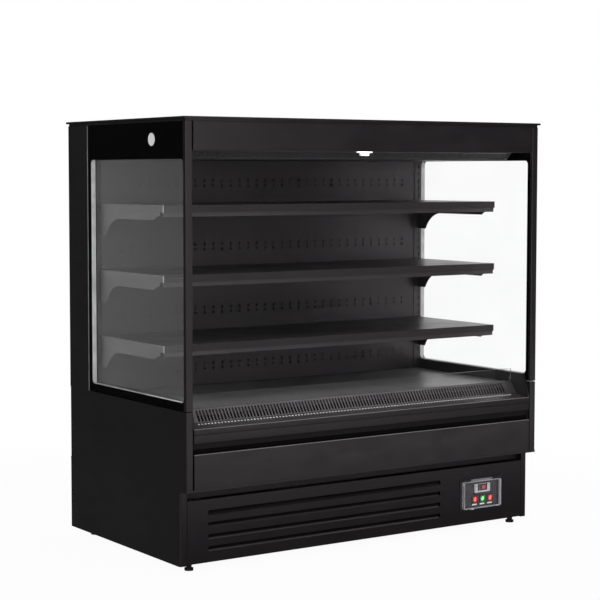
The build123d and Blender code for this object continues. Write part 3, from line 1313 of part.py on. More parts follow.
BRACKET_FRONT = SHELF_FRONT + BRACKET_START

with BuildPart() as shelf_brackets:
    for level in SHELF_LEVELS:
        top = level - SHEET
        under = top - BRACKET_HEIGHT
        root = top - BRACKET_ROOT
        root_front = DUCT_FACE - BRACKET_ROOT_WIDTH
        gusset_front = root_front - BRACKET_GUSSET
        with BuildSketch(Plane.YZ.offset(BRACKET_X - BRACKET_THICKNESS / 2)):
            with BuildLine():
                Line((gusset_front, under), (BRACKET_FRONT + BRACKET_NOTCH, under))
                cove_z = top - (BRACKET_HEIGHT + BRACKET_NOSE) / 2 + BRACKET_COVE
                ThreePointArc(
                    (BRACKET_FRONT + BRACKET_NOTCH, under),
                    (BRACKET_FRONT + BRACKET_NOTCH / 2, cove_z),
                    (BRACKET_FRONT, top - BRACKET_NOSE),
                )
                Polyline(
                    (BRACKET_FRONT, top - BRACKET_NOSE),
                    (BRACKET_FRONT, top),
                    (DUCT_FACE, top),
                    (DUCT_FACE, root),
                    (root_front, root),
                )
                SagittaArc((root_front, root), (gusset_front, under), -BRACKET_SAG)
            make_face()
        extrude(amount=BRACKET_THICKNESS)
        outer = BRACKET_X + BRACKET_THICKNESS / 2
        flange_x = (outer - BRACKET_FLANGE, outer)
        block(flange_x, (BRACKET_FRONT, SHELF_BACK - SHEET - FIT), (top - PLATE, top))
        for step in (0, 2):
            hook = top - PLATE - HOOK_HEIGHT / 2 - SLOT_STEP * step
            block(
                around(BRACKET_X, BRACKET_THICKNESS),
                (DUCT_FACE, DUCT_FACE + HOOK_LENGTH),
                around(hook - HOOK_HEIGHT / 2, HOOK_HEIGHT),
            )
    mirror(about=Plane.YZ)
shelf_brackets.part.label = "shelf_brackets"
export_step(shelf_brackets.part, "parts/shelf_brackets.step")

# ============================================================ posts, glass, roof
with BuildPart() as front_posts:
    with BuildSketch(Plane.XY.offset(Z_SEAM)) as post_plan:
        with Locations(((INNER + HALF) / 2, FRONT + POST_DEPTH / 2)):
            Rectangle(SIDE_WALL, POST_DEPTH)
            fillet(post_plan.vertices().group_by(Axis.Y)[0], radius=POST_CORNER)
            Rectangle(
                SIDE_WALL - 2 * POST_WALL,
                POST_DEPTH - 2 * POST_WALL,
                mode=Mode.SUBTRACT,
            )
            fillet(post_plan.vertices().group_by(Axis.Y)[1], radius=POST_CORNER - POST_WALL)
    extrude(amount=UPPER_HEIGHT)
    mirror(about=Plane.YZ)
front_posts.part.label = "front_posts"
export_step(front_posts.part, "parts/front_posts.step")

GLASS_SPAN = (GLASS_FRONT, GLASS_REAR)
GLASS_RISE = (Z_SEAM, Z_TOP)

with BuildPart() as side_glass:
    for x in (INNER, HALF - PANE):
        block((x, x + PANE), GLASS_SPAN, GLASS_RISE)
    mirror(about=Plane.YZ)
side_glass.part.label = "side_glass"
export_step(side_glass.part, "parts/side_glass.step")

with BuildPart() as glass_borders:
    sides = ((INNER + PANE, BORDER_INNER_FRONT), (HALF - PANE - BORDER, BORDER_FRONT))
    for x, front_margin in sides:
        block((x, x + BORDER), GLASS_SPAN, GLASS_RISE)
        low = (GLASS_FRONT + front_margin, Z_SEAM + BORDER_BOTTOM)
        high = (GLASS_REAR - BORDER_REAR, Z_TOP - BORDER_TOP)
        with BuildSketch(Plane.YZ.offset(x)):
            with Locations(((low[0] + high[0]) / 2, (low[1] + high[1]) / 2)):
                RectangleRounded(high[0] - low[0], high[1] - low[1], BORDER_CORNER)
        extrude(amount=BORDER, mode=Mode.SUBTRACT)
    mirror(about=Plane.YZ)
glass_borders.part.label = "glass_borders"
export_step(glass_borders.part, "parts/glass_borders.step")

with BuildPart() as glass_spacers:
    bar_x = (INNER + PANE + BORDER, HALF - PANE - BORDER)
    bar_front = GLASS_FRONT + BORDER_FRONT - SPACER_FRONT
    bar_rear = GLASS_REAR - BORDER_REAR
    bar_foot = Z_SEAM + BORDER_BOTTOM - SPACER
    block(bar_x, (bar_front, bar_front + SPACER_FRONT), (bar_foot, Z_TOP))
    block(bar_x, (bar_rear, bar_rear + SPACER), (bar_foot, Z_TOP))
    block(bar_x, (bar_front, bar_rear), (bar_foot, bar_foot + SPACER))
    block(bar_x, (bar_front, bar_rear), (Z_TOP - SPACER, Z_TOP))
    mirror(about=Plane.YZ)
glass_spacers.part.label = "glass_spacers"
export_step(glass_spacers.part, "parts/glass_spacers.step")

with BuildPart() as roof_cap:
    cap_front, cap_rear = FRONT - CAP_OVERHANG, BACK + CAP_OVERHANG
    block(both_ways(HALF + CAP_OVERHANG), (cap_front, cap_rear), (Z_CAP, Z_CAP + CAP_THICKNESS))
    block(
        both_ways(HALF + CAP_OVERHANG - SHEET),
        (cap_front + SHEET, cap_rear - SHEET),
        (Z_CAP, Z_CAP + CAP_THICKNESS - SHEET),
        Mode.SUBTRACT,
    )
roof_cap.part.label = "roof_cap"
export_step(roof_cap.part, "parts/roof_cap.step")

ROOF_FRONT = FRONT + PANEL_RETURN + FIT
LAMP_FRONT = ROOF_FRONT + SHEET + FIT
LAMP_TOP = Z_CANOPY + 2 * SHEET + LAMP_HEIGHT

with BuildPart() as roof_frame:
    block(both_ways(CORE_HALF), (ROOF_FRONT, BACK), (Z_ROOF, Z_TOP))
    block(
        both_ways(CORE_HALF - SHEET),
        (ROOF_FRONT + SHEET, BACK - SHEET),
        (Z_ROOF + SHEET, Z_TOP - SHEET),
        Mode.SUBTRACT,
    )
    plinth = (FRONT + PLINTH_INSET, BACK - PLINTH_INSET)
    block(both_ways(HALF - PLINTH_INSET), plinth, (Z_TOP, Z_CAP + CAP_THICKNESS - SHEET))
    block(
        both_ways(HALF - PLINTH_INSET - PLINTH_WALL),
        (plinth[0] + PLINTH_WALL, plinth[1] - PLINTH_WALL),
        (Z_TOP, Z_CAP + CAP_THICKNESS - SHEET),
        Mode.SUBTRACT,
    )
    block(both_ways(CORE_HALF), (ROOF_FRONT, ROOF_FRONT + SHEET), (LAMP_TOP, Z_ROOF))
    block(both_ways(CORE_HALF), (ROOF_FRONT, LAMP_FRONT + LAMP_DEPTH), (LAMP_TOP, LAMP_TOP + SHEET))
    baffle_back = FRONT + SOFFIT_END
    block(both_ways(CORE_HALF), (baffle_back - SHEET, baffle_back), (Z_CANOPY, Z_ROOF))
    soffit = (FRONT + SOFFIT_START, baffle_back)
    block(both_ways(CORE_HALF), soffit, (Z_CANOPY, Z_CANOPY + SHEET))
roof_frame.part.label = "roof_frame"
export_step(roof_frame.part, "parts/roof_frame.step")

with BuildPart() as canopy_front:
    panel_skin = (FRONT, FRONT + SHEET)
    fold = (FRONT, FRONT + PANEL_RETURN)
    block(both_ways(FRONT_PANEL_HALF), panel_skin, (Z_CANOPY, Z_TOP))
    for z in (Z_CANOPY, Z_TOP - SHEET):
        block(both_ways(FRONT_PANEL_HALF), fold, (z, z + SHEET))
    for x in (-FRONT_PANEL_HALF, FRONT_PANEL_HALF - SHEET):
        block((x, x + SHEET), fold, (Z_CANOPY, Z_TOP))
canopy_front.part.label = "canopy_front"
export_step(canopy_front.part, "parts/canopy_front.step")

OUTLET_FACE = Vector(0, FRONT + SOFFIT_END + OUTLET_RUN / 2, Z_CANOPY - OUTLET_DROP / 2)
OUTLET_LENGTH = (OUTLET_RUN**2 + OUTLET_DROP**2) ** 0.5
OUTLET_OUT = Vector(0, -OUTLET_DROP, -OUTLET_RUN)

with BuildPart() as honeycomb_outlet:
    outlet_plane = Plane(OUTLET_FACE, x_dir=(1, 0, 0), z_dir=OUTLET_OUT)
    with BuildSketch(outlet_plane):
        Rectangle(2 * CORE_HALF, OUTLET_LENGTH)
        with HexLocations(OUTLET_PITCH / 2, OUTLET_COLUMNS, OUTLET_ROWS):
            RegularPolygon(OUTLET_CELL / 2, 6, major_radius=False, mode=Mode.SUBTRACT)
    extrude(amount=-OUTLET_THICKNESS)
honeycomb_outlet.part.label = "honeycomb_outlet"
export_step(honeycomb_outlet.part, "parts/honeycomb_outlet.step")

with BuildPart() as canopy_lamp:
    lamp_half = CORE_HALF - SCREW_INSET
    lamp_y = (LAMP_FRONT, LAMP_FRONT + LAMP_DEPTH)
    block(both_ways(lamp_half), lamp_y, (LAMP_TOP - LAMP_HEIGHT, LAMP_TOP))
    bottom_edges = canopy_lamp.edges().filter_by(Axis.X).group_by(Axis.Z)[0]
    fillet(bottom_edges, radius=LAMP_HEIGHT / 3)
canopy_lamp.part.label = "canopy_lamp"
export_step(canopy_lamp.part, "parts/canopy_lamp.step")

# =============================================================== the night blind
ROLLER_Y = FRONT + ROLLER_SETBACK
ROLLER_Z = Z_CANOPY + ROLLER_RAISE
ROLLER_HALF = CORE_HALF - ROLLER_END_GAP

with BuildPart() as blind_brackets:
    for side in (-1, 1):
        outer, inner = side * CORE_HALF, side * (CORE_HALF - PLATE)
        low, high = sorted((outer, inner))
        plate_z = (Z_CANOPY + 2 * SHEET, Z_ROOF)
        block((low, high), around(ROLLER_Y, 2 * ROLLER_RADIUS), plate_z)
        pin_end = side * (ROLLER_HALF - ROLLER_PIN_LENGTH)
        rod((ROLLER_Y, ROLLER_Z), ROLLER_PIN, *sorted((inner, pin_end)), "x")
blind_brackets.part.label = "blind_brackets"
export_step(blind_brackets.part, "parts/blind_brackets.step")

with BuildPart() as blind_roller:
    centre = (ROLLER_Y, ROLLER_Z)
    rod(centre, ROLLER_RADIUS, *both_ways(ROLLER_HALF), "x")
    plug_face = ROLLER_HALF - ROLLER_PLUG
    rod(centre, ROLLER_RADIUS - ROLLER_WALL, *both_ways(plug_face), "x", Mode.SUBTRACT)
    bore = ROLLER_PIN + SHAFT_CLEARANCE
    rod(centre, bore, *both_ways(ROLLER_HALF), "x", Mode.SUBTRACT)
blind_roller.part.label = "blind_roller"
export_step(blind_roller.part, "parts/blind_roller.step")

BAR_HALF = LINING_HALF - BAR_INSET
CLOTH_BACK = ROLLER_Y - ROLLER_RADIUS - BLIND_CLEARANCE
BAR_Y = CLOTH_BACK - CLOTH / 2
BAR_BOTTOM = Z_CANOPY + BAR_RAISE
BAR_TOP = BAR_BOTTOM + BAR_HEIGHT

with BuildPart() as blind_fabric:
    block(
        both_ways(BAR_HALF - CLOTH_INSET),
        (CLOTH_BACK - CLOTH, CLOTH_BACK),
        (BAR_TOP + BLIND_CLEARANCE, ROLLER_Z),
    )
blind_fabric.part.label = "blind_fabric"
export_step(blind_fabric.part, "parts/blind_fabric.step")

with BuildPart() as blind_bar:
    with BuildSketch(Plane.YZ.offset(-BAR_HALF)):
        with Locations((BAR_Y, BAR_BOTTOM + BAR_HEIGHT / 2)):
            RectangleRounded(BAR_DEPTH, BAR_HEIGHT, BAR_WALL)
            Rectangle(BAR_DEPTH - 2 * BAR_WALL, BAR_HEIGHT - 2 * BAR_WALL, mode=Mode.SUBTRACT)
    extrude(amount=2 * BAR_HALF)
blind_bar.part.label = "blind_bar"
export_step(blind_bar.part, "parts/blind_bar.step")

with BuildPart() as blind_handle:
    handle_y = around(BAR_Y, HANDLE_DEPTH)
    bridge = (BAR_BOTTOM - HANDLE_BRIDGE, BAR_BOTTOM)
    block(both_ways(HANDLE_WIDTH / 2), handle_y, bridge)
    block(both_ways(HANDLE_TAB_WIDTH / 2), handle_y, (bridge[0] - HANDLE_TAB, bridge[0]))
    lower_edges = blind_handle.edges().filter_by(Axis.Y).group_by(Axis.Z)[0]
    fillet(lower_edges, radius=HANDLE_DEPTH / 3)
blind_handle.part.label = "blind_handle"
export_step(blind_handle.part, "parts/blind_handle.step")

# ==================================================================== fasteners
with BuildPart() as fasteners:
    for spots, face in ((BASE_SCREWS, BASE_BACK), (REAR_SCREWS, BACK)):
        for x, z in spots:
            drum(x, z, SCREW_HEAD, face, face + SCREW_HEAD_HEIGHT)
            drum(x, z, SCREW_SHANK, face - SCREW_LENGTH, face)
    plug = (FRONT + PLUG_SETBACK, Z_TOP - PLUG_DROP)
    for face in (-HALF - PLUG_THICKNESS, HALF):
        rod(plug, PLUG_RADIUS, face, face + PLUG_THICKNESS, "x")
fasteners.part.label = "fasteners"
export_step(fasteners.part, "parts/fasteners.step")
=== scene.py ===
"""Looks of the open multideck display fridge: finishes, fine pieces, light and camera.

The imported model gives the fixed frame. X runs to the right, Y to the back and Z up, in
metres, with the origin on the floor under the middle of the cabinet. The classes of pieces
give their sizes in millimetres and their turns in degrees, in the same frame. The finishes
and the studio give theirs in metres.
"""
import json
import logging
from dataclasses import dataclass, field
from enum import Enum
from functools import cache
from math import cos, pi, radians, sin
from typing import Iterable, Sequence

import bmesh
import bpy
from mathutils import Euler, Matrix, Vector


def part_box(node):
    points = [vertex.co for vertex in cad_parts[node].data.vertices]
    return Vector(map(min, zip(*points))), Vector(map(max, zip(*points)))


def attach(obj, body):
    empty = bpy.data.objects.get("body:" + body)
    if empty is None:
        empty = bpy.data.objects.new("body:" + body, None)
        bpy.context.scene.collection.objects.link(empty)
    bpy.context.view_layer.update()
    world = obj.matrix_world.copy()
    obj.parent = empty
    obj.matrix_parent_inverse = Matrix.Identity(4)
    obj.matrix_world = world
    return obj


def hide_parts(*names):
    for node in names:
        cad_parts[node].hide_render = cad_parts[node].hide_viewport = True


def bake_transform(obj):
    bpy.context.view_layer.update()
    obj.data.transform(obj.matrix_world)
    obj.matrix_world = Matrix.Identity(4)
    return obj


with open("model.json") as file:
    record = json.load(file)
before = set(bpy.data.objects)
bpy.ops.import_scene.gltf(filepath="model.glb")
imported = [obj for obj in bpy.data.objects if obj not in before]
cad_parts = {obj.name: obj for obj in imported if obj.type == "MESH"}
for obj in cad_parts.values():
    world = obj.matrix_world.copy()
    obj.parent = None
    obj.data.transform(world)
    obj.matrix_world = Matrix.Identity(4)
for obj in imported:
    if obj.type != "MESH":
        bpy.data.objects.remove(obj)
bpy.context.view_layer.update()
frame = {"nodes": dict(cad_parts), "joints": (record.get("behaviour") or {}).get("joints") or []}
LOG = logging.getLogger("fridge")
MM = 0.001
FULL_TURN = 360.0
WAVE_BANDS = 20.0  # bands that a wave texture of scale 1 puts in a metre
INNER_CORNER = 0.5  # radius of an opening's corners, as a share of the outer corners'
ROUND_PROFILE = 0.5  # a bevel that is an arc
MIX_COLOURS = (0, 6, 7)  # a colour mix's inputs for the share and the two colours
EVENLY = (9.0, 9.0, 9.0)  # reach of a light behind a whole piece
FAN_TIPS = {"condenser_fan": 87.5, "evaporator_fan_left": 79.5, "evaporator_fan_right": 79.5}

Colour = tuple[float, float, float]
Point = tuple[float, float, float]
Flat = tuple[float, float]
Sockets = dict[str | int, object]


class Axis(Enum):
    """Direction that an outline is drawn along or turned about, as its place in a point."""

    X = 0
    Y = 1
    Z = 2


class Sheen(Enum):
    """How rough a painted or moulded surface is."""

    GLOSS = 0.16
    SEMI = 0.24
    SATIN = 0.34
    MATT = 0.55
    CHALK = 0.8


class Light(Enum):
    """Kinds of ray that a background is told apart by, as Light Path's outputs."""

    CAMERA = "Is Camera Ray"
    DIFFUSE = "Is Diffuse Ray"
    GLOSSY = "Is Glossy Ray"
    SHADOW = "Is Shadow Ray"
    TRANSMISSION = "Is Transmission Ray"


def box_of(node: str) -> tuple[Vector, Vector]:
    """Lowest and highest corner of a CAD node, in millimetres."""
    low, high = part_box(node)
    return Vector(low) / MM, Vector(high) / MM


def shade(colour: Colour, share: float) -> Colour:
    """A colour made darker or paler by a share."""
    return tuple(min(1.0, share * part) for part in colour)


# ------------------------------------------------------------------------- finishes
class Graph:
    """Node graph of a material or of the world, with short ways to add to it."""

    def __init__(self, tree: bpy.types.NodeTree) -> None:
        """Take hold of a node tree.

        Args:
            tree: The tree.
        """
        self.nodes = tree.nodes
        self.links = tree.links

    def feed(self, node: bpy.types.Node, inputs: Sockets) -> None:
        """Set a node's inputs, by value or by a link.

        Args:
            node: The node.
            inputs: Values or output sockets, by the name or place of the input.
        """
        for key, value in inputs.items():
            if isinstance(value, bpy.types.NodeSocket):
                self.links.new(value, node.inputs[key])
            elif isinstance(value, tuple) and len(value) == 3 and node.inputs[key].type == "RGBA":
                node.inputs[key].default_value = (*value, 1.0)
            else:
                node.inputs[key].default_value = value

    def node(self, kind: str, inputs: Sockets, **settings: object) -> bpy.types.Node:
        """Add a node.

        Args:
            kind: Its Blender type, without the leading ShaderNode.
            inputs: What feeds its inputs.
            **settings: Its properties.

        Returns:
            The node.
        """
        node = self.nodes.new("ShaderNode" + kind)
        for key, value in settings.items():
            setattr(node, key, value)
        self.feed(node, inputs)
        return node

    @property
    def place(self) -> bpy.types.NodeSocket:
        """Place on the object, in metres."""
        return self.node("TexCoord", {}).outputs["Object"]

    def stretched(self, scale: Point) -> bpy.types.NodeSocket:
        """Place on the object, with each axis multiplied."""
        return self.node("Mapping", {"Vector": self.place, "Scale": scale}).outputs[0]

    def noise(
        self, scale: float, detail: float = 2.0, where: bpy.types.NodeSocket | None = None
    ) -> bpy.types.NodeSocket:
        """Add cloudy noise.

        Args:
            scale: How many clouds fit in a metre.
            detail: How many finer layers it has.
            where: The place it is read at, if not the object's own.

        Returns:
            Its value, near a half.
        """
        inputs = {"Vector": where or self.place, "Scale": scale, "Detail": detail}
        return self.node("TexNoise", inputs).outputs["Fac"]

    def cloud(self, scale: float, detail: float) -> bpy.types.NodeSocket:
        """Cloudy noise, spread from 0 to 1."""
        return self.between(self.noise(scale, detail), 0.0, 1.0)

    def ray(self, kind: Light) -> bpy.types.NodeSocket:
        """One for rays of a kind, and none for others."""
        return self.node("LightPath", {}).outputs[kind.value]

    def between(
        self, value: bpy.types.NodeSocket, low: float, high: float, start: float = 0.3,
        end: float = 0.7,
    ) -> bpy.types.NodeSocket:
        """Spread a value over a range.

        Args:
            value: The value.
            low: Result at the start.
            high: Result at the end.
            start: Value that gives low.
            end: Value that gives high.

        Returns:
            The result, which stays inside the range.
        """
        inputs = {"Value": value, 1: start, 2: end, 3: low, 4: high}
        return self.node("MapRange", inputs).outputs[0]

    def mixed(
        self, share: bpy.types.NodeSocket | float, first: object, second: object
    ) -> bpy.types.NodeSocket:
        """Mix two colours.

        Args:
            share: How much of the second.
            first: Colour or socket at none.
            second: Colour or socket at all.

        Returns:
            The mixed colour.
        """
        inputs = dict(zip(MIX_COLOURS, (share, first, second)))
        return self.node("Mix", inputs, data_type="RGBA").outputs[2]

    def sum_of(self, kind: str, *values: object) -> bpy.types.NodeSocket:
        """Work out one step of arithmetic, by Blender's name for it."""
        return self.node("Math", dict(enumerate(values)), operation=kind).outputs[0]

    def vector(self, kind: str, *values: object) -> bpy.types.Node:
        """Add one step of arithmetic on vectors, by Blender's name for it."""
        return self.node("VectorMath", dict(enumerate(values)), operation=kind)


class Recipe(Graph):
    """Node graph of one material, built around its Principled shader."""

    def __init__(self, name: str) -> None:
        """Start a material.

        Args:
            name: The material's name.
        """
        self.material = bpy.data.materials.new(name)
        self.material.use_nodes = True
        super().__init__(self.material.node_tree)
        self.shader = self.nodes["Principled BSDF"]
        self.output = self.nodes["Material Output"]

    def toned(
        self, value: bpy.types.NodeSocket, colour: Colour, tones: Flat
    ) -> bpy.types.NodeSocket:
        """Vary a colour.

        Args:
            value: What it varies with, from 0 to 1.
            colour: The colour.
            tones: Shares of it at 0 and at 1.

        Returns:
            The colour at each place.
        """
        return self.mixed(value, shade(colour, tones[0]), shade(colour, tones[1]))

    def sheened(
        self, value: bpy.types.NodeSocket, sheen: Sheen, shares: Flat
    ) -> bpy.types.NodeSocket:
        """Vary a roughness.

        Args:
            value: What it varies with, near a half.
            sheen: The roughness.
            shares: Shares of it at low and at high values.

        Returns:
            The roughness at each place.
        """
        rough = sheen.value
        return self.between(value, rough * shares[0], min(1.0, rough * shares[1]))

    def relief(
        self, height: bpy.types.NodeSocket, depth: float, strength: float = 1.0,
        fold: float = 0.0,
    ) -> None:
        """Give the surface a fine relief, over edges that are rounded in the shading.

        Args:
            height: The relief, from 0 to 1.
            depth: Its depth in metres.
            strength: Share of it that shows.
            fold: Radius that the shading gives to sharp edges, in metres.
        """
        inputs: Sockets = {"Height": height, "Distance": depth, "Strength": strength}
        if fold:
            inputs["Normal"] = self.node("Bevel", {"Radius": fold}, samples=4).outputs[0]
        self.feed(self.shader, {"Normal": self.node("Bump", inputs).outputs[0]})


@dataclass(frozen=True)
class Finish:
    """A finish, which builds its material when a piece first asks for it."""

    name: str

    @cache
    def material(self) -> bpy.types.Material:
        """Build the material, once.

        Returns:
            The material.
        """
        recipe = Recipe(self.name)
        self.mix(recipe)
        return recipe.material

    def mix(self, recipe: Recipe) -> None:
        """Lay out the material's nodes, in each kind of finish's own way.

        Args:
            recipe: The material's graph.
        """
        raise NotImplementedError


@dataclass(frozen=True)
class PowderCoat(Finish):
    """Baked powder paint on sheet steel: a fine orange peel and faint handling marks."""

    colour: Colour
    sheen: Sheen = Sheen.SATIN
    peel: float = 900.0
    depth: float = 0.00006
    fold: float = 0.002
    gloss_tint: Colour = (1.0, 0.9, 0.96)
    clouds: Flat = (3.5, 3.0)
    tones: Flat = (0.82, 1.22)
    specks: Flat = (1400.0, 1.0)
    speck_range: Flat = (0.35, 0.65)
    speck_share: float = 0.25
    speck_tone: float = 1.5
    speck_lift: float = 0.002
    rubs: Flat = (9.0, 5.0)
    rub_stretch: Point = (1.0, 1.0, 2.5)
    rub_shares: Flat = (0.86, 1.2)
    peel_strength: float = 0.5

    def mix(self, recipe: Recipe) -> None:
        """Lay out the material's nodes.

        Args:
            recipe: The material's graph.
        """
        tone = recipe.toned(recipe.cloud(*self.clouds), self.colour, self.tones)
        speck = recipe.between(recipe.noise(*self.specks), 0.0, 1.0, *self.speck_range)
        grey = tuple(self.speck_tone * part + self.speck_lift for part in self.colour)
        tone = recipe.mixed(recipe.sum_of("MULTIPLY", speck, self.speck_share), tone, grey)
        rubbed = recipe.noise(*self.rubs, recipe.stretched(self.rub_stretch))
        rough = recipe.sheened(rubbed, self.sheen, self.rub_shares)
        recipe.feed(
            recipe.shader,
            {"Base Color": tone, "Roughness": rough, "Specular Tint": self.gloss_tint},
        )
        peel = recipe.noise(self.peel, 1.0)
        recipe.relief(peel, self.depth, self.peel_strength, self.fold)


@dataclass(frozen=True)
class Moulded(Finish):
    """Moulded plastic or rubber with a fine spark-eroded grain."""

    colour: Colour
    sheen: Sheen = Sheen.SATIN
    grain: float = 1800.0
    depth: float = 0.00004
    fold: float = 0.0005
    shine: float = 0.5
    gloss_tint: Colour = (1.0, 0.91, 0.96)
    clouds: Flat = (30.0, 3.0)
    tones: Flat = (0.92, 1.08)
    flow: Flat = (120.0, 3.0)
    flow_shares: Flat = (0.9, 1.12)
    grain_strength: float = 0.4

    def mix(self, recipe: Recipe) -> None:
        """Lay out the material's nodes.

        Args:
            recipe: The material's graph.
        """
        flow = recipe.noise(*self.flow)
        recipe.feed(
            recipe.shader,
            {
                "Base Color": recipe.toned(recipe.cloud(*self.clouds), self.colour, self.tones),
                "Roughness": recipe.sheened(flow, self.sheen, self.flow_shares),
                "Specular IOR Level": self.shine,
                "Specular Tint": self.gloss_tint,
            },
        )
        grain = recipe.noise(self.grain, 1.0)
        recipe.relief(grain, self.depth, self.grain_strength, self.fold)


@dataclass(frozen=True)
class Metal(Finish):
    """Bare or plated metal, drawn or brushed along one axis."""

    colour: Colour
    sheen: Sheen = Sheen.SATIN
    along: Axis | None = None
    metallic: float = 1.0
    fold: float = 0.0004
    drawing: Flat = (700.0, 2.0)
    drawn_out: float = 0.02
    clouds: Flat = (25.0, 4.0)
    tones: Flat = (0.8, 1.1)
    line_shares: Flat = (0.8, 1.3)
    line_depth: float = 0.00002
    line_strength: float = 0.5

    def mix(self, recipe: Recipe) -> None:
        """Lay out the material's nodes.

        Args:
            recipe: The material's graph.
        """
        scale = [1.0, 1.0, 1.0]
        if self.along:
            scale[self.along.value] = self.drawn_out
        lines = recipe.noise(*self.drawing, recipe.stretched(tuple(scale)))
        recipe.feed(
            recipe.shader,
            {
                "Base Color": recipe.toned(recipe.cloud(*self.clouds), self.colour, self.tones),
                "Roughness": recipe.sheened(lines, self.sheen, self.line_shares),
                "Metallic": self.metallic,
            },
        )
        recipe.relief(lines, self.line_depth, self.line_strength, self.fold)


@dataclass(frozen=True)
class Glass(Finish):
    """Clear pane or moulding, which lets the lamps through."""

    tint: Colour
    bend: float = 1.15
    haze: float = 0.0
    clearness: float = 1.0
    clouds: Flat = (6.0, 4.0)
    tones: Flat = (1.0, 0.985)

    def mix(self, recipe: Recipe) -> None:
        """Lay out the material's nodes.

        Args:
            recipe: The material's graph.
        """
        recipe.feed(
            recipe.shader,
            {
                "Base Color": recipe.toned(recipe.cloud(*self.clouds), self.tint, self.tones),
                "Roughness": self.haze,
                "IOR": self.bend,
                "Transmission Weight": self.clearness,
            },
        )
        clear = recipe.node("BsdfTransparent", {"Color": self.tint})
        inputs = {
            0: recipe.ray(Light.SHADOW), 1: recipe.shader.outputs[0], 2: clear.outputs[0],
        }
        recipe.feed(
            recipe.output, {"Surface": recipe.node("MixShader", inputs).outputs[0]}
        )


@dataclass(frozen=True)
class Lit(Finish):
    """Plastic or lens with light behind it, brightest around a spot."""

    colour: Colour
    glow: Colour
    strength: float
    spot: Point = (0.0, 0.0, 0.0)
    reach: Point = (1.0, 1.0, 1.0)
    sheen: Sheen = Sheen.SATIN
    fade: Flat = (0.45, 1.0)
    ripples: Flat = (500.0, 2.0)
    ripple_low: float = 0.85
    grain: Flat = (1500.0, 1.0)
    depth: float = 0.00002
    grain_strength: float = 0.4
    fold: float = 0.0006

    def mix(self, recipe: Recipe) -> None:
        """Lay out the material's nodes.

        Args:
            recipe: The material's graph.
        """
        shifted = recipe.vector("SUBTRACT", recipe.place, self.spot).outputs[0]
        scaled = recipe.vector("DIVIDE", shifted, self.reach).outputs[0]
        far = recipe.vector("LENGTH", scaled).outputs["Value"]
        near = recipe.between(far, 1.0, 0.0, *self.fade)
        ripple = recipe.between(recipe.noise(*self.ripples), self.ripple_low, 1.0)
        level = recipe.sum_of("MULTIPLY", recipe.sum_of("MULTIPLY", near, ripple), self.strength)
        recipe.feed(
            recipe.shader,
            {
                "Base Color": recipe.mixed(near, self.colour, self.glow),
                "Roughness": self.sheen.value,
                "Emission Color": self.glow,
                "Emission Strength": level,
            },
        )
        recipe.relief(recipe.noise(*self.grain), self.depth, self.grain_strength, self.fold)


@dataclass(frozen=True)
class Foam(Finish):
    """Closed-cell insulating foam with a thin facing that shows its cells."""

    colour: Colour
    cells: float = 900.0
    clouds: Flat = (12.0, 3.0)
    stale: Colour = (0.9, 0.8, 0.6)
    rough: Flat = (0.95, 0.75)
    cell_wall: float = 0.8
    depth: float = 0.0004
    cell_strength: float = 0.8

    def mix(self, recipe: Recipe) -> None:
        """Lay out the material's nodes.

        Args:
            recipe: The material's graph.
        """
        inputs = {"Vector": recipe.place, "Scale": self.cells}
        cell = recipe.node("TexVoronoi", inputs).outputs["Distance"]
        stale = tuple(part * share for part, share in zip(self.colour, self.stale))
        recipe.feed(
            recipe.shader,
            {
                "Base Color": recipe.mixed(recipe.cloud(*self.clouds), self.colour, stale),
                "Roughness": recipe.between(cell, *self.rough, 0.0, self.cell_wall),
            },
        )
        recipe.relief(cell, self.depth, self.cell_strength)


@dataclass(frozen=True)
class Woven(Finish):
    """Coated woven cloth, with warp and weft as crossed bands."""

    colour: Colour
    threads: float = 1100.0
    wander: float = 0.4
    tones: Flat = (0.7, 1.15)
    rough: Flat = (0.85, 0.6)
    nap: float = 0.2
    depth: float = 0.00025
    weave_strength: float = 0.7

    def mix(self, recipe: Recipe) -> None:
        """Lay out the material's nodes.

        Args:
            recipe: The material's graph.
        """
        waves = []
        for direction in ("X", "Z"):
            inputs = {
                "Vector": recipe.place, "Scale": self.threads / WAVE_BANDS,
                "Distortion": self.wander,
            }
            waves.append(recipe.node("TexWave", inputs, bands_direction=direction).outputs["Fac"])
        weave = recipe.sum_of("MAXIMUM", *waves)
        recipe.feed(
            recipe.shader,
            {
                "Base Color": recipe.toned(weave, self.colour, self.tones),
                "Roughness": recipe.between(weave, *self.rough, 0.0, 1.0),
                "Sheen Weight": self.nap,
            },
        )
        recipe.relief(weave, self.depth, self.weave_strength)


BLACK = PowderCoat("black powder coat", (0.0068, 0.0060, 0.0066))
CHARCOAL = PowderCoat("charcoal inside paint", (0.026, 0.025, 0.026), Sheen.SATIN, 1100.0, 0.00002)
# paler than the charcoal inside paint: painted light and reflection on the deck
DECK_PAINTED_LIGHT = PowderCoat("deck paint paled by painted light", (0.14, 0.136, 0.14), Sheen.SATIN, 1100.0, 0.00002)
# paler than the charcoal inside paint: painted light on the return grille
GRILLE_PAINTED_LIGHT = PowderCoat("return grille paint paled by painted light", (0.05, 0.048, 0.05), Sheen.SATIN, 1100.0, 0.00002)
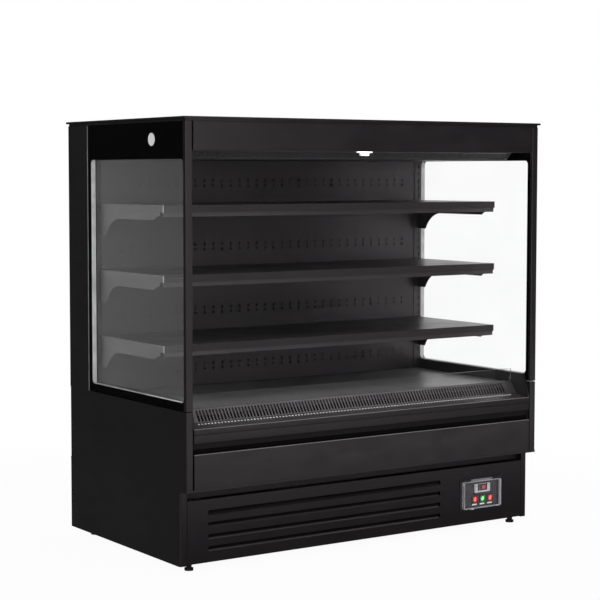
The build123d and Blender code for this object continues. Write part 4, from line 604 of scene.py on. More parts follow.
# pale grey on the black hems: a painted highlight along the folded edges
EDGE_HIGHLIGHT_PAINT = PowderCoat("painted highlight on folded edges", (0.11, 0.105, 0.108), Sheen.SEMI, fold=0.0005)
FRAME_GREY = PowderCoat("dark frame paint", (0.012, 0.012, 0.013), Sheen.MATT)
CAN_BLACK = PowderCoat("compressor enamel", (0.006, 0.006, 0.006), Sheen.GLOSS, 500.0)
FOAM = Foam("black-faced insulating foam", (0.008, 0.007, 0.0075))
PANE = Glass("clear pane", (0.995, 0.998, 0.996), 1.12)
GUARD = Glass("clear guard", (0.97, 0.975, 0.972), 1.2)
PRINT = Moulded("printed black border", (0.0048, 0.0044, 0.0048), Sheen.GLOSS, 2500.0, 0.00001)
SPACER = Metal("spacer aluminium", (0.62, 0.62, 0.63), Sheen.MATT, Axis.Z, 0.1)
OUTLET = Moulded("outlet plastic", (0.05, 0.05, 0.053), Sheen.SATIN)
BLIND_METAL = Metal("anodised blind profile", (0.3, 0.3, 0.31), Sheen.SATIN, Axis.X)
HANDLE = Moulded("handle plastic", (0.82, 0.82, 0.82), Sheen.SATIN)
ZINC = Metal("zinc-plated bracket", (0.5, 0.51, 0.53), Sheen.SATIN)
TRIM = Moulded("trim plastic", (0.0095, 0.0088, 0.0092), Sheen.MATT, 1300.0, 0.00003, 0.0015)
RUBBER = Moulded("foot rubber", (0.01, 0.01, 0.01), Sheen.MATT)
COIL = Metal("coil aluminium", (0.75, 0.76, 0.77), Sheen.SATIN, Axis.Z)
FAN = Moulded("fan plastic", (0.015, 0.015, 0.016), Sheen.SATIN)
DRAIN = Moulded("drain plastic", (0.06, 0.06, 0.062), Sheen.SATIN)
COPPER = Metal("drawn copper", (0.72, 0.3, 0.16), Sheen.SATIN)
BOX_GREY = Moulded("wiring box plastic", (0.1, 0.1, 0.105), Sheen.MATT)
STATION = Moulded("station plastic", (0.013, 0.013, 0.014), Sheen.SATIN)
BEZEL = Moulded("pale bezel plastic", (0.5, 0.48, 0.5), Sheen.SATIN)
KEY = Moulded("key plastic", (0.42, 0.41, 0.43), Sheen.SATIN)
CLEAR = Glass("clear cover plastic", (0.97, 0.975, 0.975), 1.2)
MOULD_WALL = Glass("moulded cover wall", (0.86, 0.86, 0.88), 1.25, 0.2, 0.88)
# pale, half-clear rim: a painted highlight along the clear cover's edges
COVER_EDGE_HIGHLIGHT = Glass("cover edge with painted highlight", (0.8, 0.8, 0.82), 1.35, 0.3, 0.35)
SCREEN = Moulded("dark display window", (0.006, 0.004, 0.005), Sheen.GLOSS, 2500.0, 0.00001)
FRAME_BLACK = Moulded("rocker frame plastic", (0.004, 0.004, 0.0042), Sheen.SATIN)
# near-black with little shine, so the upper back of the recess stays dark: painted shade
RECESS_PAINTED_SHADE = Moulded("painted shade in the recess", (0.005, 0.0045, 0.005), Sheen.MATT, shine=0.2)
GASKET = Moulded("glazing gasket", (0.006, 0.006, 0.006), Sheen.MATT)
EDGE_CLIP = Metal("glass edge clip", (0.42, 0.42, 0.43), Sheen.SATIN, Axis.Z, 0.6)
END_CAP = Moulded("rail end cap plastic", (0.24, 0.24, 0.245), Sheen.SATIN)
# black with almost no shine at the foot of the recess: a painted shadow
RECESS_PAINTED_SHADOW = Moulded("painted shadow in the recess", (0.002, 0.0018, 0.002), Sheen.CHALK, shine=0.08)
DIGIT = Lit("display digit", (0.4, 0.01, 0.02), (1.0, 0.06, 0.13), 0.55, reach=EVENLY)
BRIGHT = Metal("bright zinc fixing", (0.62, 0.62, 0.64), Sheen.SATIN)
WHITE = Moulded("white plastic", (0.78, 0.78, 0.78), Sheen.SATIN)
CLOTH = Woven("blind cloth", (0.32, 0.32, 0.33))
PALE_DOT = Moulded("pale stud plastic", (0.93, 0.93, 0.93), Sheen.GLOSS)
DIFFUSER = Lit("lamp diffuser", (0.8, 0.8, 0.8), (1.0, 0.98, 0.94), 5.0, reach=EVENLY)

# the deck and the return grille take paler copies of the inside paint, which is painted light
NODE_FINISHES = {"deck_riser": GUARD, "deck_panels": DECK_PAINTED_LIGHT, "air_return_grille": GRILLE_PAINTED_LIGHT}
SLOT_FINISHES = {
    "black_paint": BLACK,
    "frame_paint": FRAME_GREY,
    "interior_paint": CHARCOAL,
    "foam": FOAM,
    "clear_glass": PANE,
    "printed_border": PRINT,
    "spacer_aluminium": SPACER,
    "outlet_plastic": OUTLET,
    "lamp_diffuser": DIFFUSER,
    "blind_aluminium": BLIND_METAL,
    "blind_cloth": CLOTH,
    "handle_plastic": HANDLE,
    "bracket_steel": ZINC,
    "bumper_plastic": TRIM,
    "foot_plastic": RUBBER,
    "compressor_paint": CAN_BLACK,
    "coil_aluminium": COIL,
    "fan_plastic": FAN,
    "drain_plastic": DRAIN,
    "copper": COPPER,
    "box_plastic": BOX_GREY,
    "station_plastic": STATION,
    "controller_plastic": BEZEL,
    "clear_plastic": CLEAR,
    "key_plastic": KEY,
    "bright_fixings": BRIGHT,
}


# ---------------------------------------------------------------------------- studio
@dataclass
class Lamp:
    """A soft lamp: a rectangle that faces a point."""

    name: str
    place: Point
    aim: Point
    width: float
    height: float
    radiance: float

    def hang(self) -> None:
        """Put the lamp in the scene."""
        light = bpy.data.lights.new(self.name, "AREA")
        light.shape = "RECTANGLE"
        light.size, light.size_y = self.width, self.height
        light.energy = pi * self.width * self.height * self.radiance
        holder = bpy.data.objects.new(self.name, light)
        towards = Vector(self.aim) - Vector(self.place)
        holder.location = self.place
        holder.rotation_euler = towards.to_track_quat("-Z", "Y").to_euler()
        holder.visible_camera = False
        holder.visible_transmission = False
        bpy.context.scene.collection.objects.link(holder)


@dataclass
class Studio:
    """Pale floor, pale surroundings, soft lamps and the camera."""

    camera_place: Point = (-3.4772, -5.0439, 1.3030)
    camera_turn: Point = (86.06, 0.0, -33.56)
    lens: float = 100.94
    shift: Flat = (0.0403, -0.0182)
    floor_half: float = 40000.0
    shadow_reach: float = 2.6
    fill: float = 0.55
    glossy_share: float = 0.08
    backdrop_share: float = 0.5
    backdrop_right: Flat = (0.18, 0.5)
    backdrop_back: Flat = (0.0, 0.3)
    floor_share: float = 0.955
    floor_clouds: Flat = (2.0, 3.0)
    floor_tones: Flat = (0.8, 0.84)
    shadow_core: float = 0.6
    white: Colour = (1.0, 1.0, 1.0)
    lamps: list[Lamp] = field(
        default_factory=lambda: [
            Lamp("front softbox", (0.3, -5.0, 1.6), (0.3, 0.0, 1.6), 3.0, 2.2, 1.95),
            Lamp("front card", (1.1, -2.55, 0.05), (1.1, -2.55, 3.0), 4.0, 2.5, 1.1),
            Lamp("top softbox", (-0.4, -1.6, 4.2), (0.0, -0.2, 0.8), 3.0, 2.2, 0.7),
            Lamp("edge softbox", (2.8, -2.0, 4.3), (0.2, -0.4, 0.6), 2.6, 2.4, 2.0),
            Lamp("rear softbox", (4.2, 5.2, 2.0), (0.3, 0.4, 0.9), 4.0, 3.6, 1.3),
            Lamp("right softbox", (3.6, 0.8, 1.8), (0.5, 0.0, 0.7), 1.6, 1.8, 1.6),
            Lamp("corner strip", (-4.7, -2.9, 1.2), (-0.75, -0.4, 0.9), 0.35, 2.4, 22.0),
        ]
    )

    def seen(self, graph: Graph, share: bpy.types.NodeSocket | float) -> bpy.types.NodeSocket:
        """Share of the background that a ray sees as written.

        Args:
            graph: The graph to add to.
            share: What a reflection sees of it.

        Returns:
            One for the camera and what shows through glass, and the share for reflections.
        """
        clear = graph.sum_of("MAXIMUM", graph.ray(Light.CAMERA), graph.ray(Light.TRANSMISSION))
        mirrored = graph.sum_of("MULTIPLY", graph.ray(Light.GLOSSY), share)
        return graph.sum_of("MAXIMUM", clear, mirrored)

    def surroundings(self) -> None:
        """Make the world: white where it shows, a soft fill, and a pale backdrop behind."""
        world = bpy.data.worlds.new("pale surroundings")
        world.use_nodes = True
        bpy.context.scene.world = world
        graph = Graph(world.node_tree)
        lit = graph.sum_of("MULTIPLY", graph.ray(Light.DIFFUSE), self.fill)
        ways = graph.node("SeparateXYZ", {0: graph.node("TexCoord", {}).outputs["Generated"]})
        rightwards = graph.between(ways.outputs[0], 0.0, 1.0, *self.backdrop_right)
        backwards = graph.between(ways.outputs[1], 0.0, 1.0, *self.backdrop_back)
        backdrop = graph.sum_of("MULTIPLY", rightwards, backwards)
        share = graph.between(backdrop, self.glossy_share, self.backdrop_share, 0.0, 1.0)
        level = graph.sum_of("MAXIMUM", self.seen(graph, share), lit)
        graph.feed(graph.nodes["Background"], {"Color": self.white, "Strength": level})

    def floor(self) -> None:
        """Lay the floor: white to the eye, and with the fridge's faint shadow near it."""
        stock = Stock()
        half = self.floor_half
        stock.face([(-half, -half, 0), (half, -half, 0), (half, half, 0), (-half, half, 0)])
        recipe = Recipe("pale floor")
        recipe.nodes.remove(recipe.shader)
        tone = recipe.toned(recipe.noise(*self.floor_clouds), self.white, self.floor_tones)
        matt = recipe.node("BsdfDiffuse", {"Color": tone})
        seen = self.seen(recipe, self.glossy_share)
        shine = recipe.node("Emission", {"Color": self.white, "Strength": seen})
        far = recipe.vector("LENGTH", recipe.place).outputs["Value"]
        near = self.shadow_core * self.shadow_reach
        share = recipe.between(far, self.floor_share, 1.0, near, self.shadow_reach)
        shown = recipe.sum_of("CEIL", seen)
        level = recipe.sum_of("MULTIPLY", shown, share)
        both = recipe.node("MixShader", {0: level, 1: matt.outputs[0], 2: shine.outputs[0]})
        recipe.feed(recipe.output, {"Surface": both.outputs[0]})
        mesh = stock.data("floor")
        mesh.materials.append(recipe.material)
        ground = bpy.data.objects.new("floor", mesh)
        bpy.context.scene.collection.objects.link(ground)

    def camera(self) -> None:
        """Stand the camera where the photograph was taken from."""
        data = bpy.data.cameras.new("camera")
        data.lens = self.lens
        data.shift_x, data.shift_y = self.shift
        camera = bpy.data.objects.new("camera", data)
        camera.location = self.camera_place
        camera.rotation_euler = Euler([radians(turn) for turn in self.camera_turn])
        bpy.context.scene.collection.objects.link(camera)
        bpy.context.scene.camera = camera

    def build(self) -> None:
        """Set up the whole studio."""
        bpy.context.scene.view_settings.view_transform = "Standard"
        self.camera()
        self.surroundings()
        self.floor()
        for lamp in self.lamps:
            lamp.hang()
        LOG.info("studio: floor, %d lamps and the camera", len(self.lamps))


# ----------------------------------------------------------------------- mesh making
class Stock:
    """Mesh of one piece, made from faces, prisms and turned shapes, in millimetres."""

    def __init__(self) -> None:
        """Start with no faces."""
        self.mesh = bmesh.new()

    def face(self, corners: Iterable[Point]) -> None:
        """Add one face through its corners."""
        self.mesh.faces.new([self.mesh.verts.new(corner) for corner in corners])

    def rings(
        self, loops: Sequence[Sequence[Point]], caps: bool = True, closed: bool = False
    ) -> None:
        """Skin a row of loops that have as many points each.

        Args:
            loops: The loops, in order.
            caps: Whether the first and last loop are closed by a face.
            closed: Whether the last loop joins the first.
        """
        rows = [[self.mesh.verts.new(point) for point in loop] for loop in loops]
        pairs = list(zip(rows, rows[1:])) + ([(rows[-1], rows[0])] if closed else [])
        for near, far in pairs:
            for place, corner in enumerate(near):
                after = (place + 1) % len(near)
                self.mesh.faces.new((corner, near[after], far[after], far[place]))
        if caps and not closed:
            self.mesh.faces.new(reversed(rows[0]))
            self.mesh.faces.new(rows[-1])

    def block(self, low: Point, high: Point) -> None:
        """Add a box.

        Args:
            low: Its lowest corner.
            high: Its highest corner.
        """
        (x0, y0, z0), (x1, y1, z1) = low, high
        loop = [(x0, y0), (x1, y0), (x1, y1), (x0, y1)]
        self.rings([[(x, y, z) for x, y in loop] for z in (z0, z1)])

    def prism(self, outline: Sequence[Flat], axis: Axis, start: float, end: float) -> None:
        """Draw an outline out along an axis.

        Args:
            outline: Its points on the other two axes, in their order X, Y, Z.
            axis: The axis.
            start: Where it starts on the axis.
            end: Where it ends.
        """
        self.rings([[across(axis, point, level) for point in outline] for level in (start, end)])

    def ring(
        self, outer: Flat, inner: Flat, middle: Flat, axis: Axis, start: float, end: float,
        corner: float = 2.0,
    ) -> None:
        """Add a frame with rounded corners round an opening.

        Args:
            outer: Its outer width and height.
            inner: The opening's width and height.
            middle: Its middle on the other two axes.
            axis: The axis that the opening runs along.
            start: Where it starts on the axis.
            end: Where it ends.
            corner: Radius of the outer corners.
        """
        wide = rounded_box(middle, outer, corner)
        narrow = rounded_box(middle, inner, corner * INNER_CORNER)
        loops = [(wide, start), (wide, end), (narrow, end), (narrow, start)]
        rows = [[across(axis, point, level) for point in loop] for loop, level in loops]
        self.rings(rows, closed=True)

    def turned(
        self, profile: Sequence[Flat], centre: Point, axis: Axis, steps: int = 40,
        closed: bool = False,
    ) -> None:
        """Turn a profile about an axis.

        Args:
            profile: Radius and height from the centre, in order.
            centre: A point on the axis, which heights count from.
            axis: The axis.
            steps: Sides of the turned shape.
            closed: Whether the profile's end joins its start, as in a tube.
        """
        others = [place for place in range(3) if place != axis.value]
        middle = (centre[others[0]], centre[others[1]])
        loops = []
        for radius, height in profile:
            ring = []
            for step in range(steps):
                angle = 2 * pi * step / steps
                spot = (middle[0] + radius * cos(angle), middle[1] + radius * sin(angle))
                ring.append(across(axis, spot, centre[axis.value] + height))
            loops.append(ring)
        self.rings(loops, closed=closed)

    def rounded(self, width: float, steps: int = 2, angle: float = 30.0) -> None:
        """Round every sharp edge.

        Args:
            width: Width of the rounding.
            steps: Faces across it.
            angle: Least turn between two faces that counts as sharp, in degrees.
        """
        self.clean()
        sharp = [
            edge
            for edge in self.mesh.edges
            if len(edge.link_faces) == 2 and edge.calc_face_angle(0.0) > radians(angle)
        ]
        bmesh.ops.bevel(
            self.mesh, geom=sharp, offset=width, segments=steps, profile=ROUND_PROFILE,
            affect="EDGES", clamp_overlap=True,
        )

    def clean(self) -> None:
        """Face every face outwards."""
        bmesh.ops.recalc_face_normals(self.mesh, faces=self.mesh.faces)

    def data(self, name: str) -> bpy.types.Mesh:
        """Hand over the faces, in metres.

        Args:
            name: Name of the mesh.

        Returns:
            The mesh.
        """
        mesh = bpy.data.meshes.new(name)
        bmesh.ops.scale(self.mesh, vec=(MM, MM, MM), verts=self.mesh.verts)
        self.mesh.to_mesh(mesh)
        self.mesh.free()
        return mesh

    def piece(
        self, name: str, finish: Finish, body: str, slot: str, *replaced: str,
        smooth: float = 30.0,
    ) -> bpy.types.Object:
        """Make the piece and hang it on its body.

        Args:
            name: The piece's name.
            finish: Its finish.
            body: The body that it rides on.
            slot: The name of a material slot; not used.
            *replaced: The CAD nodes that it stands for.
            smooth: Turn between two faces under which they shade as one, in degrees.

        Returns:
            The piece.
        """
        self.clean()
        mesh = self.data(name)
        for polygon in mesh.polygons:
            polygon.use_smooth = True
        mesh.set_sharp_from_angle(angle=radians(smooth))
        mesh.materials.append(finish.material())
        thing = bpy.data.objects.new(name, mesh)
        bpy.context.scene.collection.objects.link(thing)
        if replaced:
            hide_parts(*replaced)
        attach(thing, body)
        LOG.info("%s: %d faces on %s", name, len(mesh.polygons), body)
        return thing


def across(axis: Axis, point: Flat, level: float) -> Point:
    """Point of an outline across an axis, at a level on it."""
    place = axis.value
    return (*point[:place], level, *point[place:])


def rounded_box(middle: Flat, size: Flat, corner: float, steps: int = 4) -> list[Flat]:
    """Outline of a rectangle with rounded corners.

    Args:
        middle: Its middle.
        size: Its width and height.
        corner: Radius of its corners.
        steps: Points added round each corner.

    Returns:
        The points, in order.
    """
    points = []
    for turn, (right, up) in enumerate(((1, 1), (-1, 1), (-1, -1), (1, -1))):
        x = middle[0] + right * (size[0] / 2 - corner)
        z = middle[1] + up * (size[1] / 2 - corner)
        for step in range(steps + 1):
            angle = pi / 2 * (turn + step / steps)
            points.append((x + corner * cos(angle), z + corner * sin(angle)))
    return points


def paint_nodes() -> None:
    """Give every CAD node the finish of its material slot."""
    for name, thing in frame["nodes"].items():
        for holder in thing.material_slots:
            finish = SLOT_FINISHES.get(holder.material.name.split(".")[0])
            finish = NODE_FINISHES.get(name, finish)
            if finish:
                holder.material = finish.material()
    LOG.info("finishes on %d CAD nodes", len(frame["nodes"]))


# --------------------------------------------------------------------------- pieces
@dataclass
class ControlStation:
    """Thermostat, rocker switches and clear cover in the base's front panel."""

    rocker_names: tuple[str, ...] = ("rocker_left", "rocker_middle", "rocker_right")
    red: Colour = (0.55, 0.012, 0.012)
    red_glow: Colour = (1.0, 0.12, 0.1)
    green: Colour = (0.01, 0.3, 0.04)
    green_glow: Colour = (0.22, 1.0, 0.3)
    glow: float = 0.55
    screen: Flat = (45.4, 24.0)
    screen_raise: float = 2.2
    screen_span: Flat = (0.25, 1.15)
    screen_corner: float = 1.0
    screen_edge: float = 0.2
    digits: str = "02"
    digit: Flat = (5.8, 10.4)
    digit_pitch: float = 8.6
    digit_shift: float = 6.5
    digit_span: Flat = (0.12, 0.24)
    stroke: float = 1.35
    stroke_gap: float = 0.35
    lean: float = 0.1
    lights: tuple[Flat, ...] = ((-16.0, 6.5), (-16.0, 0.0), (-14.0, -6.5))
    light_dome: tuple[Flat, ...] = ((0.9, 0.0), (0.9, -0.05), (0.5, -0.08))
    light_steps: int = 16
    rocker_frame: Flat = (28.9, 30.8)
    rocker_mouth: Flat = (20.8, 22.7)
    rocker_tilt: float = 8.0
    rocker_half: float = 10.4
    rocker_hollow: float = 2.4
    rocker_rise: float = 1.0
    lens_reach: Point = (0.008, 0.05, 0.0095)
    mark_lifts: Flat = (0.02, 0.08)
    on_mark: tuple[Flat, Flat] = ((-0.5, 3.2), (0.5, 7.8))
    off_mark: tuple[Flat, Flat] = ((2.2, 2.5), (1.4, 1.7))
    off_drop: float = -5.4
    off_steps: int = 24
    face_proud: float = 4.0
    frame_rise: Flat = (2.25, 0.05)
    frame_edge: float = 0.5
    plate: Flat = (22.0, 5.2)
    plate_drop: float = 19.5
    plate_shift: float = 2.0
    plate_depth: float = 0.6
    plate_corner: float = 0.8
    plate_edge: float = 0.15
    cover_wall: float = 2.0
    cover_edge: float = 0.8
    cover_corner: float = 4.0
    cover_depth: float = 11.7
    pane_inset: float = 0.1
    wall_inset: float = 0.3
    rim_inset: float = 0.4
    rim_round: float = 0.4
    rim_proud: float = 0.05
    rim_ends: float = 3.0
    rim_bite: float = 0.5
    web_gap: float = 0.6
    hinge_length: float = 100.0
    hinge_radius: float = 3.45
    hinge_bore: float = 1.7
    hinge_height: float = 7.8
    hinge_depth: float = 8.45
    lug: Point = (36.0, 10.0, 4.0)
    segments: dict[str, str] = field(
        default_factory=lambda: {"0": "abcdef", "2": "abged"}
    )

    def build(self) -> None:
        """Dress the rockers and build the display, the plates and the cover."""
        for name in self.rocker_names:
            self.dress_rocker(name)
            self.mark_rocker(name)
        self.build_frames()
        self.build_display()
        self.build_cover()

    def dress_rocker(self, name: str) -> None:
        """Light a rocker's lens from within.

        Args:
            name: The rocker's node.
        """
        low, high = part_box(name)
        green = name == "rocker_middle"
        finish = Lit(
            f"{name} lens",
            self.green if green else self.red,
            self.green_glow if green else self.red_glow,
            self.glow,
            tuple((low + high) / 2),
            self.lens_reach,
            Sheen.GLOSS,
        )
        frame["nodes"][name].material_slots[0].material = finish.material()

    def mark_rocker(self, name: str) -> None:
        """Print the on and off marks on a rocker.

        Args:
            name: The rocker's node.
        """
        low, high = box_of(name)
        x = (low.x + high.x) / 2
        pivot = self.pivot(name)
        stock = Stock()
        for spots in (self.bar_mark(), self.ring_mark()):
            loops = []
            for lift in self.mark_lifts:
                loops.append([self.on_rocker(pivot, x + side, up, lift) for side, up in spots])
            stock.rings(loops)
        slot = "green_switch" if name == "rocker_middle" else "red_switch"
        stock.piece(f"{name}_marks", WHITE, name, slot)

    def bar_mark(self) -> list[Flat]:
        """Outline of the on mark."""
        (left, foot), (right, top) = self.on_mark
        return [(left, foot), (right, foot), (right, top), (left, top)]

    def ring_mark(self) -> list[Flat]:
        """Outline the off mark.

        Returns:
            A ring that is cut open along a hair line.
        """
        around = [2 * pi * step / self.off_steps for step in range(self.off_steps + 1)]
        outline = []
        for (wide, tall), turns in zip(self.off_mark, (around, around[::-1])):
            outline += [(wide * sin(turn), self.off_drop + tall * cos(turn)) for turn in turns]
        return outline

    def pivot(self, name: str) -> Flat:
        """Depth and height of a rocker's pin, which its joint turns about."""
        spot = next(joint for joint in frame["joints"] if joint["child"] == name)["pos_m"]
        return (spot[1] / MM, spot[2] / MM)

    def on_rocker(self, pivot: Flat, x: float, up: float, lift: float) -> Point:
        """Point over a rocker's hollow face.

        Args:
            pivot: Depth and height of its pin.
            x: Place across the rocker.
            up: Place along its face, from the middle up.
            lift: Height over the face.

        Returns:
            The point.
        """
        proud = self.rocker_hollow + self.rocker_rise * abs(up) / self.rocker_half + lift
        turn = radians(self.rocker_tilt)
        return (
            x,
            pivot[0] - proud * cos(turn) - up * sin(turn),
            pivot[1] + up * cos(turn) - proud * sin(turn),
        )

    def build_frames(self) -> None:
        """Build the rockers' black frames and the blank plates below them."""
        frames, plates = Stock(), Stock()
        face = box_of("controller")[0].y + self.face_proud
        start, end = (face - rise for rise in self.frame_rise)
        for name in self.rocker_names:
            low, high = box_of(name)
            middle = ((low.x + high.x) / 2, self.pivot(name)[1])
            frames.ring(self.rocker_frame, self.rocker_mouth, middle, Axis.Y, start, end)
            spot = (middle[0] - self.plate_shift, middle[1] - self.plate_drop)
            outline = rounded_box(spot, self.plate, self.plate_corner)
            plates.prism(outline, Axis.Y, face - self.plate_depth, face)
        frames.rounded(self.frame_edge)
        frames.piece("rocker_frames", FRAME_BLACK, "cabinet", "station_plastic")
        plates.rounded(self.plate_edge)
        plates.piece("blank_label_plates", WHITE, "cabinet", "station_plastic")

    def build_display(self) -> None:
        """Build the display window with its figures and signal lights."""
        low, high = box_of("controller")
        front = low.y
        x, z = (low.x + high.x) / 2, (low.z + high.z) / 2
        middle = (x, z + self.screen_raise)
        window = Stock()
        outline = rounded_box(middle, self.screen, self.screen_corner)
        window.prism(outline, Axis.Y, *(front + depth for depth in self.screen_span))
        window.rounded(self.screen_edge)
        window.piece("display_window", SCREEN, "cabinet", "controller_plastic")
        figures = Stock()
        for place, digit in enumerate(self.digits):
            start = middle[0] + self.digit_shift - 0.5 * self.digit_pitch
            self.draw_digit(figures, digit, (start + place * self.digit_pitch, middle[1]), front)
        figures.piece("display_figures", DIGIT, "cabinet", "controller_plastic")
        lights = Stock()
        for right, up in self.lights:
            spot = (middle[0] + right, front + self.screen_span[0], middle[1] + up)
            lights.turned(self.light_dome, spot, Axis.Y, self.light_steps)
        lights.piece("display_lights", PALE_DOT, "cabinet", "controller_plastic")

    def draw_digit(self, stock: Stock, digit: str, middle: Flat, front: float) -> None:
        """Draw one figure with seven leaning segments.

        Args:
            stock: The mesh to add to.
            digit: The figure.
            middle: Its middle.
            front: Depth of the bezel's face.
        """
        half, rise = self.digit[0] / 2, self.digit[1] / 2
        spots = {
            "a": (-half, rise, half, rise),
            "b": (half, rise, half, 0.0),
            "c": (half, 0.0, half, -rise),
            "d": (-half, -rise, half, -rise),
            "e": (-half, 0.0, -half, -rise),
            "f": (-half, rise, -half, 0.0),
            "g": (-half, 0.0, half, 0.0),
        }
        width = self.stroke / 2
        for letter in self.segments[digit]:
            x0, z0, x1, z1 = spots[letter]
            flat = z0 == z1
            ends = sorted((x0, x1)) if flat else sorted((z0, z1))
            first, last = ends[0] + self.stroke_gap, ends[1] - self.stroke_gap
            level = z0 if flat else x0
            outline = [
                (first, level), (first + width, level - width), (last - width, level - width),
                (last, level), (last - width, level + width), (first + width, level + width),
            ]
            turned = outline if flat else [(side, up) for up, side in outline]
            leaning = [(middle[0] + x + z * self.lean, middle[1] + z) for x, z in turned]
            stock.prism(leaning, Axis.Y, *(front + depth for depth in self.digit_span))

    def build_cover(self) -> None:
        """Build the clear cover: a thin front, a rim whose paler, cloudier finish is a painted
        highlight along its edges, its hinge and its lug.
        """
        low, high = box_of("control_cover")
        centre_x = (low.x + high.x) / 2
        foot = low.z + self.lug[2]
        top = high.z - self.hinge_height
        middle, size = (centre_x, (foot + top) / 2), (high.x - low.x, top - foot)
        wall = self.cover_wall
        inside = (size[0] - 2 * wall, size[1] - 2 * wall)
        front, back = low.y, low.y + self.cover_depth
        pane = Stock()
        outline = rounded_box(middle, inside, self.cover_corner / 2)
        pane.prism(outline, Axis.Y, front + self.pane_inset, front + wall)
        self.cover_piece(pane, "cover_front", CLEAR)
        walls = Stock()
        walls.ring(size, inside, middle, Axis.Y, front + self.wall_inset, back, self.cover_corner)
        self.cover_piece(walls, "cover_walls", MOULD_WALL)
        rim, edge, proud = Stock(), self.cover_edge, self.rim_proud
        opening = (size[0] - 2 * edge, size[1] - 2 * edge)
        rim.ring(size, opening, middle, Axis.Y, front, front + edge, self.cover_corner)
        rim.rounded(self.rim_round)
        right, start, ends = middle[0] + size[0] / 2, front + self.rim_inset, self.rim_ends
        rim.block((right - wall, start, foot + ends), (right + proud, back, top - ends))
        rim.block((low.x + ends, start, foot - proud), (high.x - ends, back, foot + edge))
        outer, bore, half = self.hinge_radius, self.hinge_bore, self.hinge_length / 2
        hinge = (centre_x, front + self.hinge_depth, high.z - outer - proud)
        profile = [(outer, -half), (outer, half), (bore, half), (bore, -half)]
        knuckle = Stock()
        knuckle.turned(profile, hinge, Axis.X, closed=True)
        knuckle.block(
            (centre_x - half, hinge[1] - wall, top - self.rim_bite),
            (centre_x + half, hinge[1] + wall, hinge[2] - bore - self.web_gap),
        )
        self.cover_piece(knuckle, "cover_knuckle", MOULD_WALL)
        left = low.x + self.lug[0]
        lug_top = foot + self.rim_bite
        rim.block((left, front + wall, low.z), (left + self.lug[1], back, lug_top))
        self.cover_piece(rim, "cover_rim", COVER_EDGE_HIGHLIGHT)

    def cover_piece(self, stock: Stock, name: str, finish: Finish) -> None:
        """Hang a piece on the cover's body, in place of the plain cover."""
        stock.piece(name, finish, "control_cover", "clear_plastic", "control_cover")


@dataclass
class HoneycombOutlet:
    """Air outlet under the canopy: a fine honeycomb held in a thin frame."""

    cell: float = 6.6
    wall: float = 0.5
    frame_wall: float = 3.4
    frame_lip: float = 0.3
    frame_edge: float = 0.25
    thickness: float = 7.4
    run: Flat = (30.0, -25.0)
    start: Flat = (-299.5, 1377.0)
    weld: float = 0.01
    sides: int = 6
    corner: float = 60.0
    smooth: float = 20.0

    def build(self) -> None:
        """Build the comb and its frame."""
        low, high = box_of("honeycomb_outlet")
        half = (high.x - low.x) / 2
        length = Vector(self.run).length
        comb = Stock()
        pitch = self.cell * sin(radians(self.corner))
        rows = int((length - self.frame_wall / 2) / pitch)
        columns = int((2 * half - 2 * self.frame_wall) / self.cell)
        first = (length - pitch * (rows - 1)) / 2
        for row in range(rows):
            offset = self.cell / 2 * (row % 2) - self.cell / 4
            for column in range(columns):
                across_x = (column - (columns - 1) / 2) * self.cell + offset
                self.add_cell(comb, across_x, first + pitch * row)
        bmesh.ops.remove_doubles(comb.mesh, verts=comb.mesh.verts, dist=self.weld)
        rim_edges = [edge for edge in comb.mesh.edges if edge.is_boundary]
        bmesh.ops.bridge_loops(comb.mesh, edges=rim_edges)
        place = ("cabinet", "outlet_plastic", "honeycomb_outlet")
        comb.piece("outlet_comb", OUTLET, *place, smooth=self.smooth)
        rim = Stock()
        wide = self.frame_wall
        self.add_bar(rim, (-half, half), (0.0, wide))
        self.add_bar(rim, (-half, half), (length - wide, length))
        for side in (-1, 1):
            ends = sorted((side * half, side * (columns - 1) * self.cell / 2))
            self.add_bar(rim, (ends[0], ends[1]), (wide, length - wide))
        rim.rounded(self.frame_edge, 1)
        rim.piece("outlet_frame", OUTLET, *place)

    def add_bar(self, stock: Stock, span: Flat, run: Flat) -> None:
        """Add one bar of the frame.

        Args:
            stock: The mesh to add to.
            span: Where it starts and ends across the cabinet.
            run: Where it starts and ends along the slope.
        """
        lip, depth = -self.frame_lip, self.thickness + self.frame_lip
        corners = [(run[0], lip), (run[1], lip), (run[1], depth), (run[0], depth)]
        stock.rings([[self.spot(x, *corner) for corner in corners] for x in span])

    def spot(self, x: float, along: float, depth: float) -> Point:
        """Point of the outlet.

        Args:
            x: Place across the cabinet.
            along: Way down the slope from its front edge.
            depth: Way into the outlet from its face.

        Returns:
            The point.
        """
        way = Vector(self.run).normalized()
        inward = Vector((-way.y, way.x))
        flat = Vector(self.start) + along * way + depth * inward
        return (x, flat.x, flat.y)

    def add_cell(self, stock: Stock, x: float, along: float) -> None:
        """Add one six-sided cell: its face ring, its walls and its back ring.

        Args:
            stock: The mesh to add to.
            x: Middle of the cell across the cabinet.
            along: Its middle along the slope.
        """
        outer = self.cell / 2 / cos(radians(self.corner / 2))
        inner = outer - self.wall
        turns = [radians(self.corner / 2 + self.corner * step) for step in range(self.sides)]
        loops = []
        deep = self.thickness
        for radius, depth in ((outer, 0.0), (inner, 0.0), (inner, deep), (outer, deep)):
            loops.append(
                [self.spot(x + radius * cos(t), along + radius * sin(t), depth) for t in turns]
            )
        stock.rings(loops, caps=False)


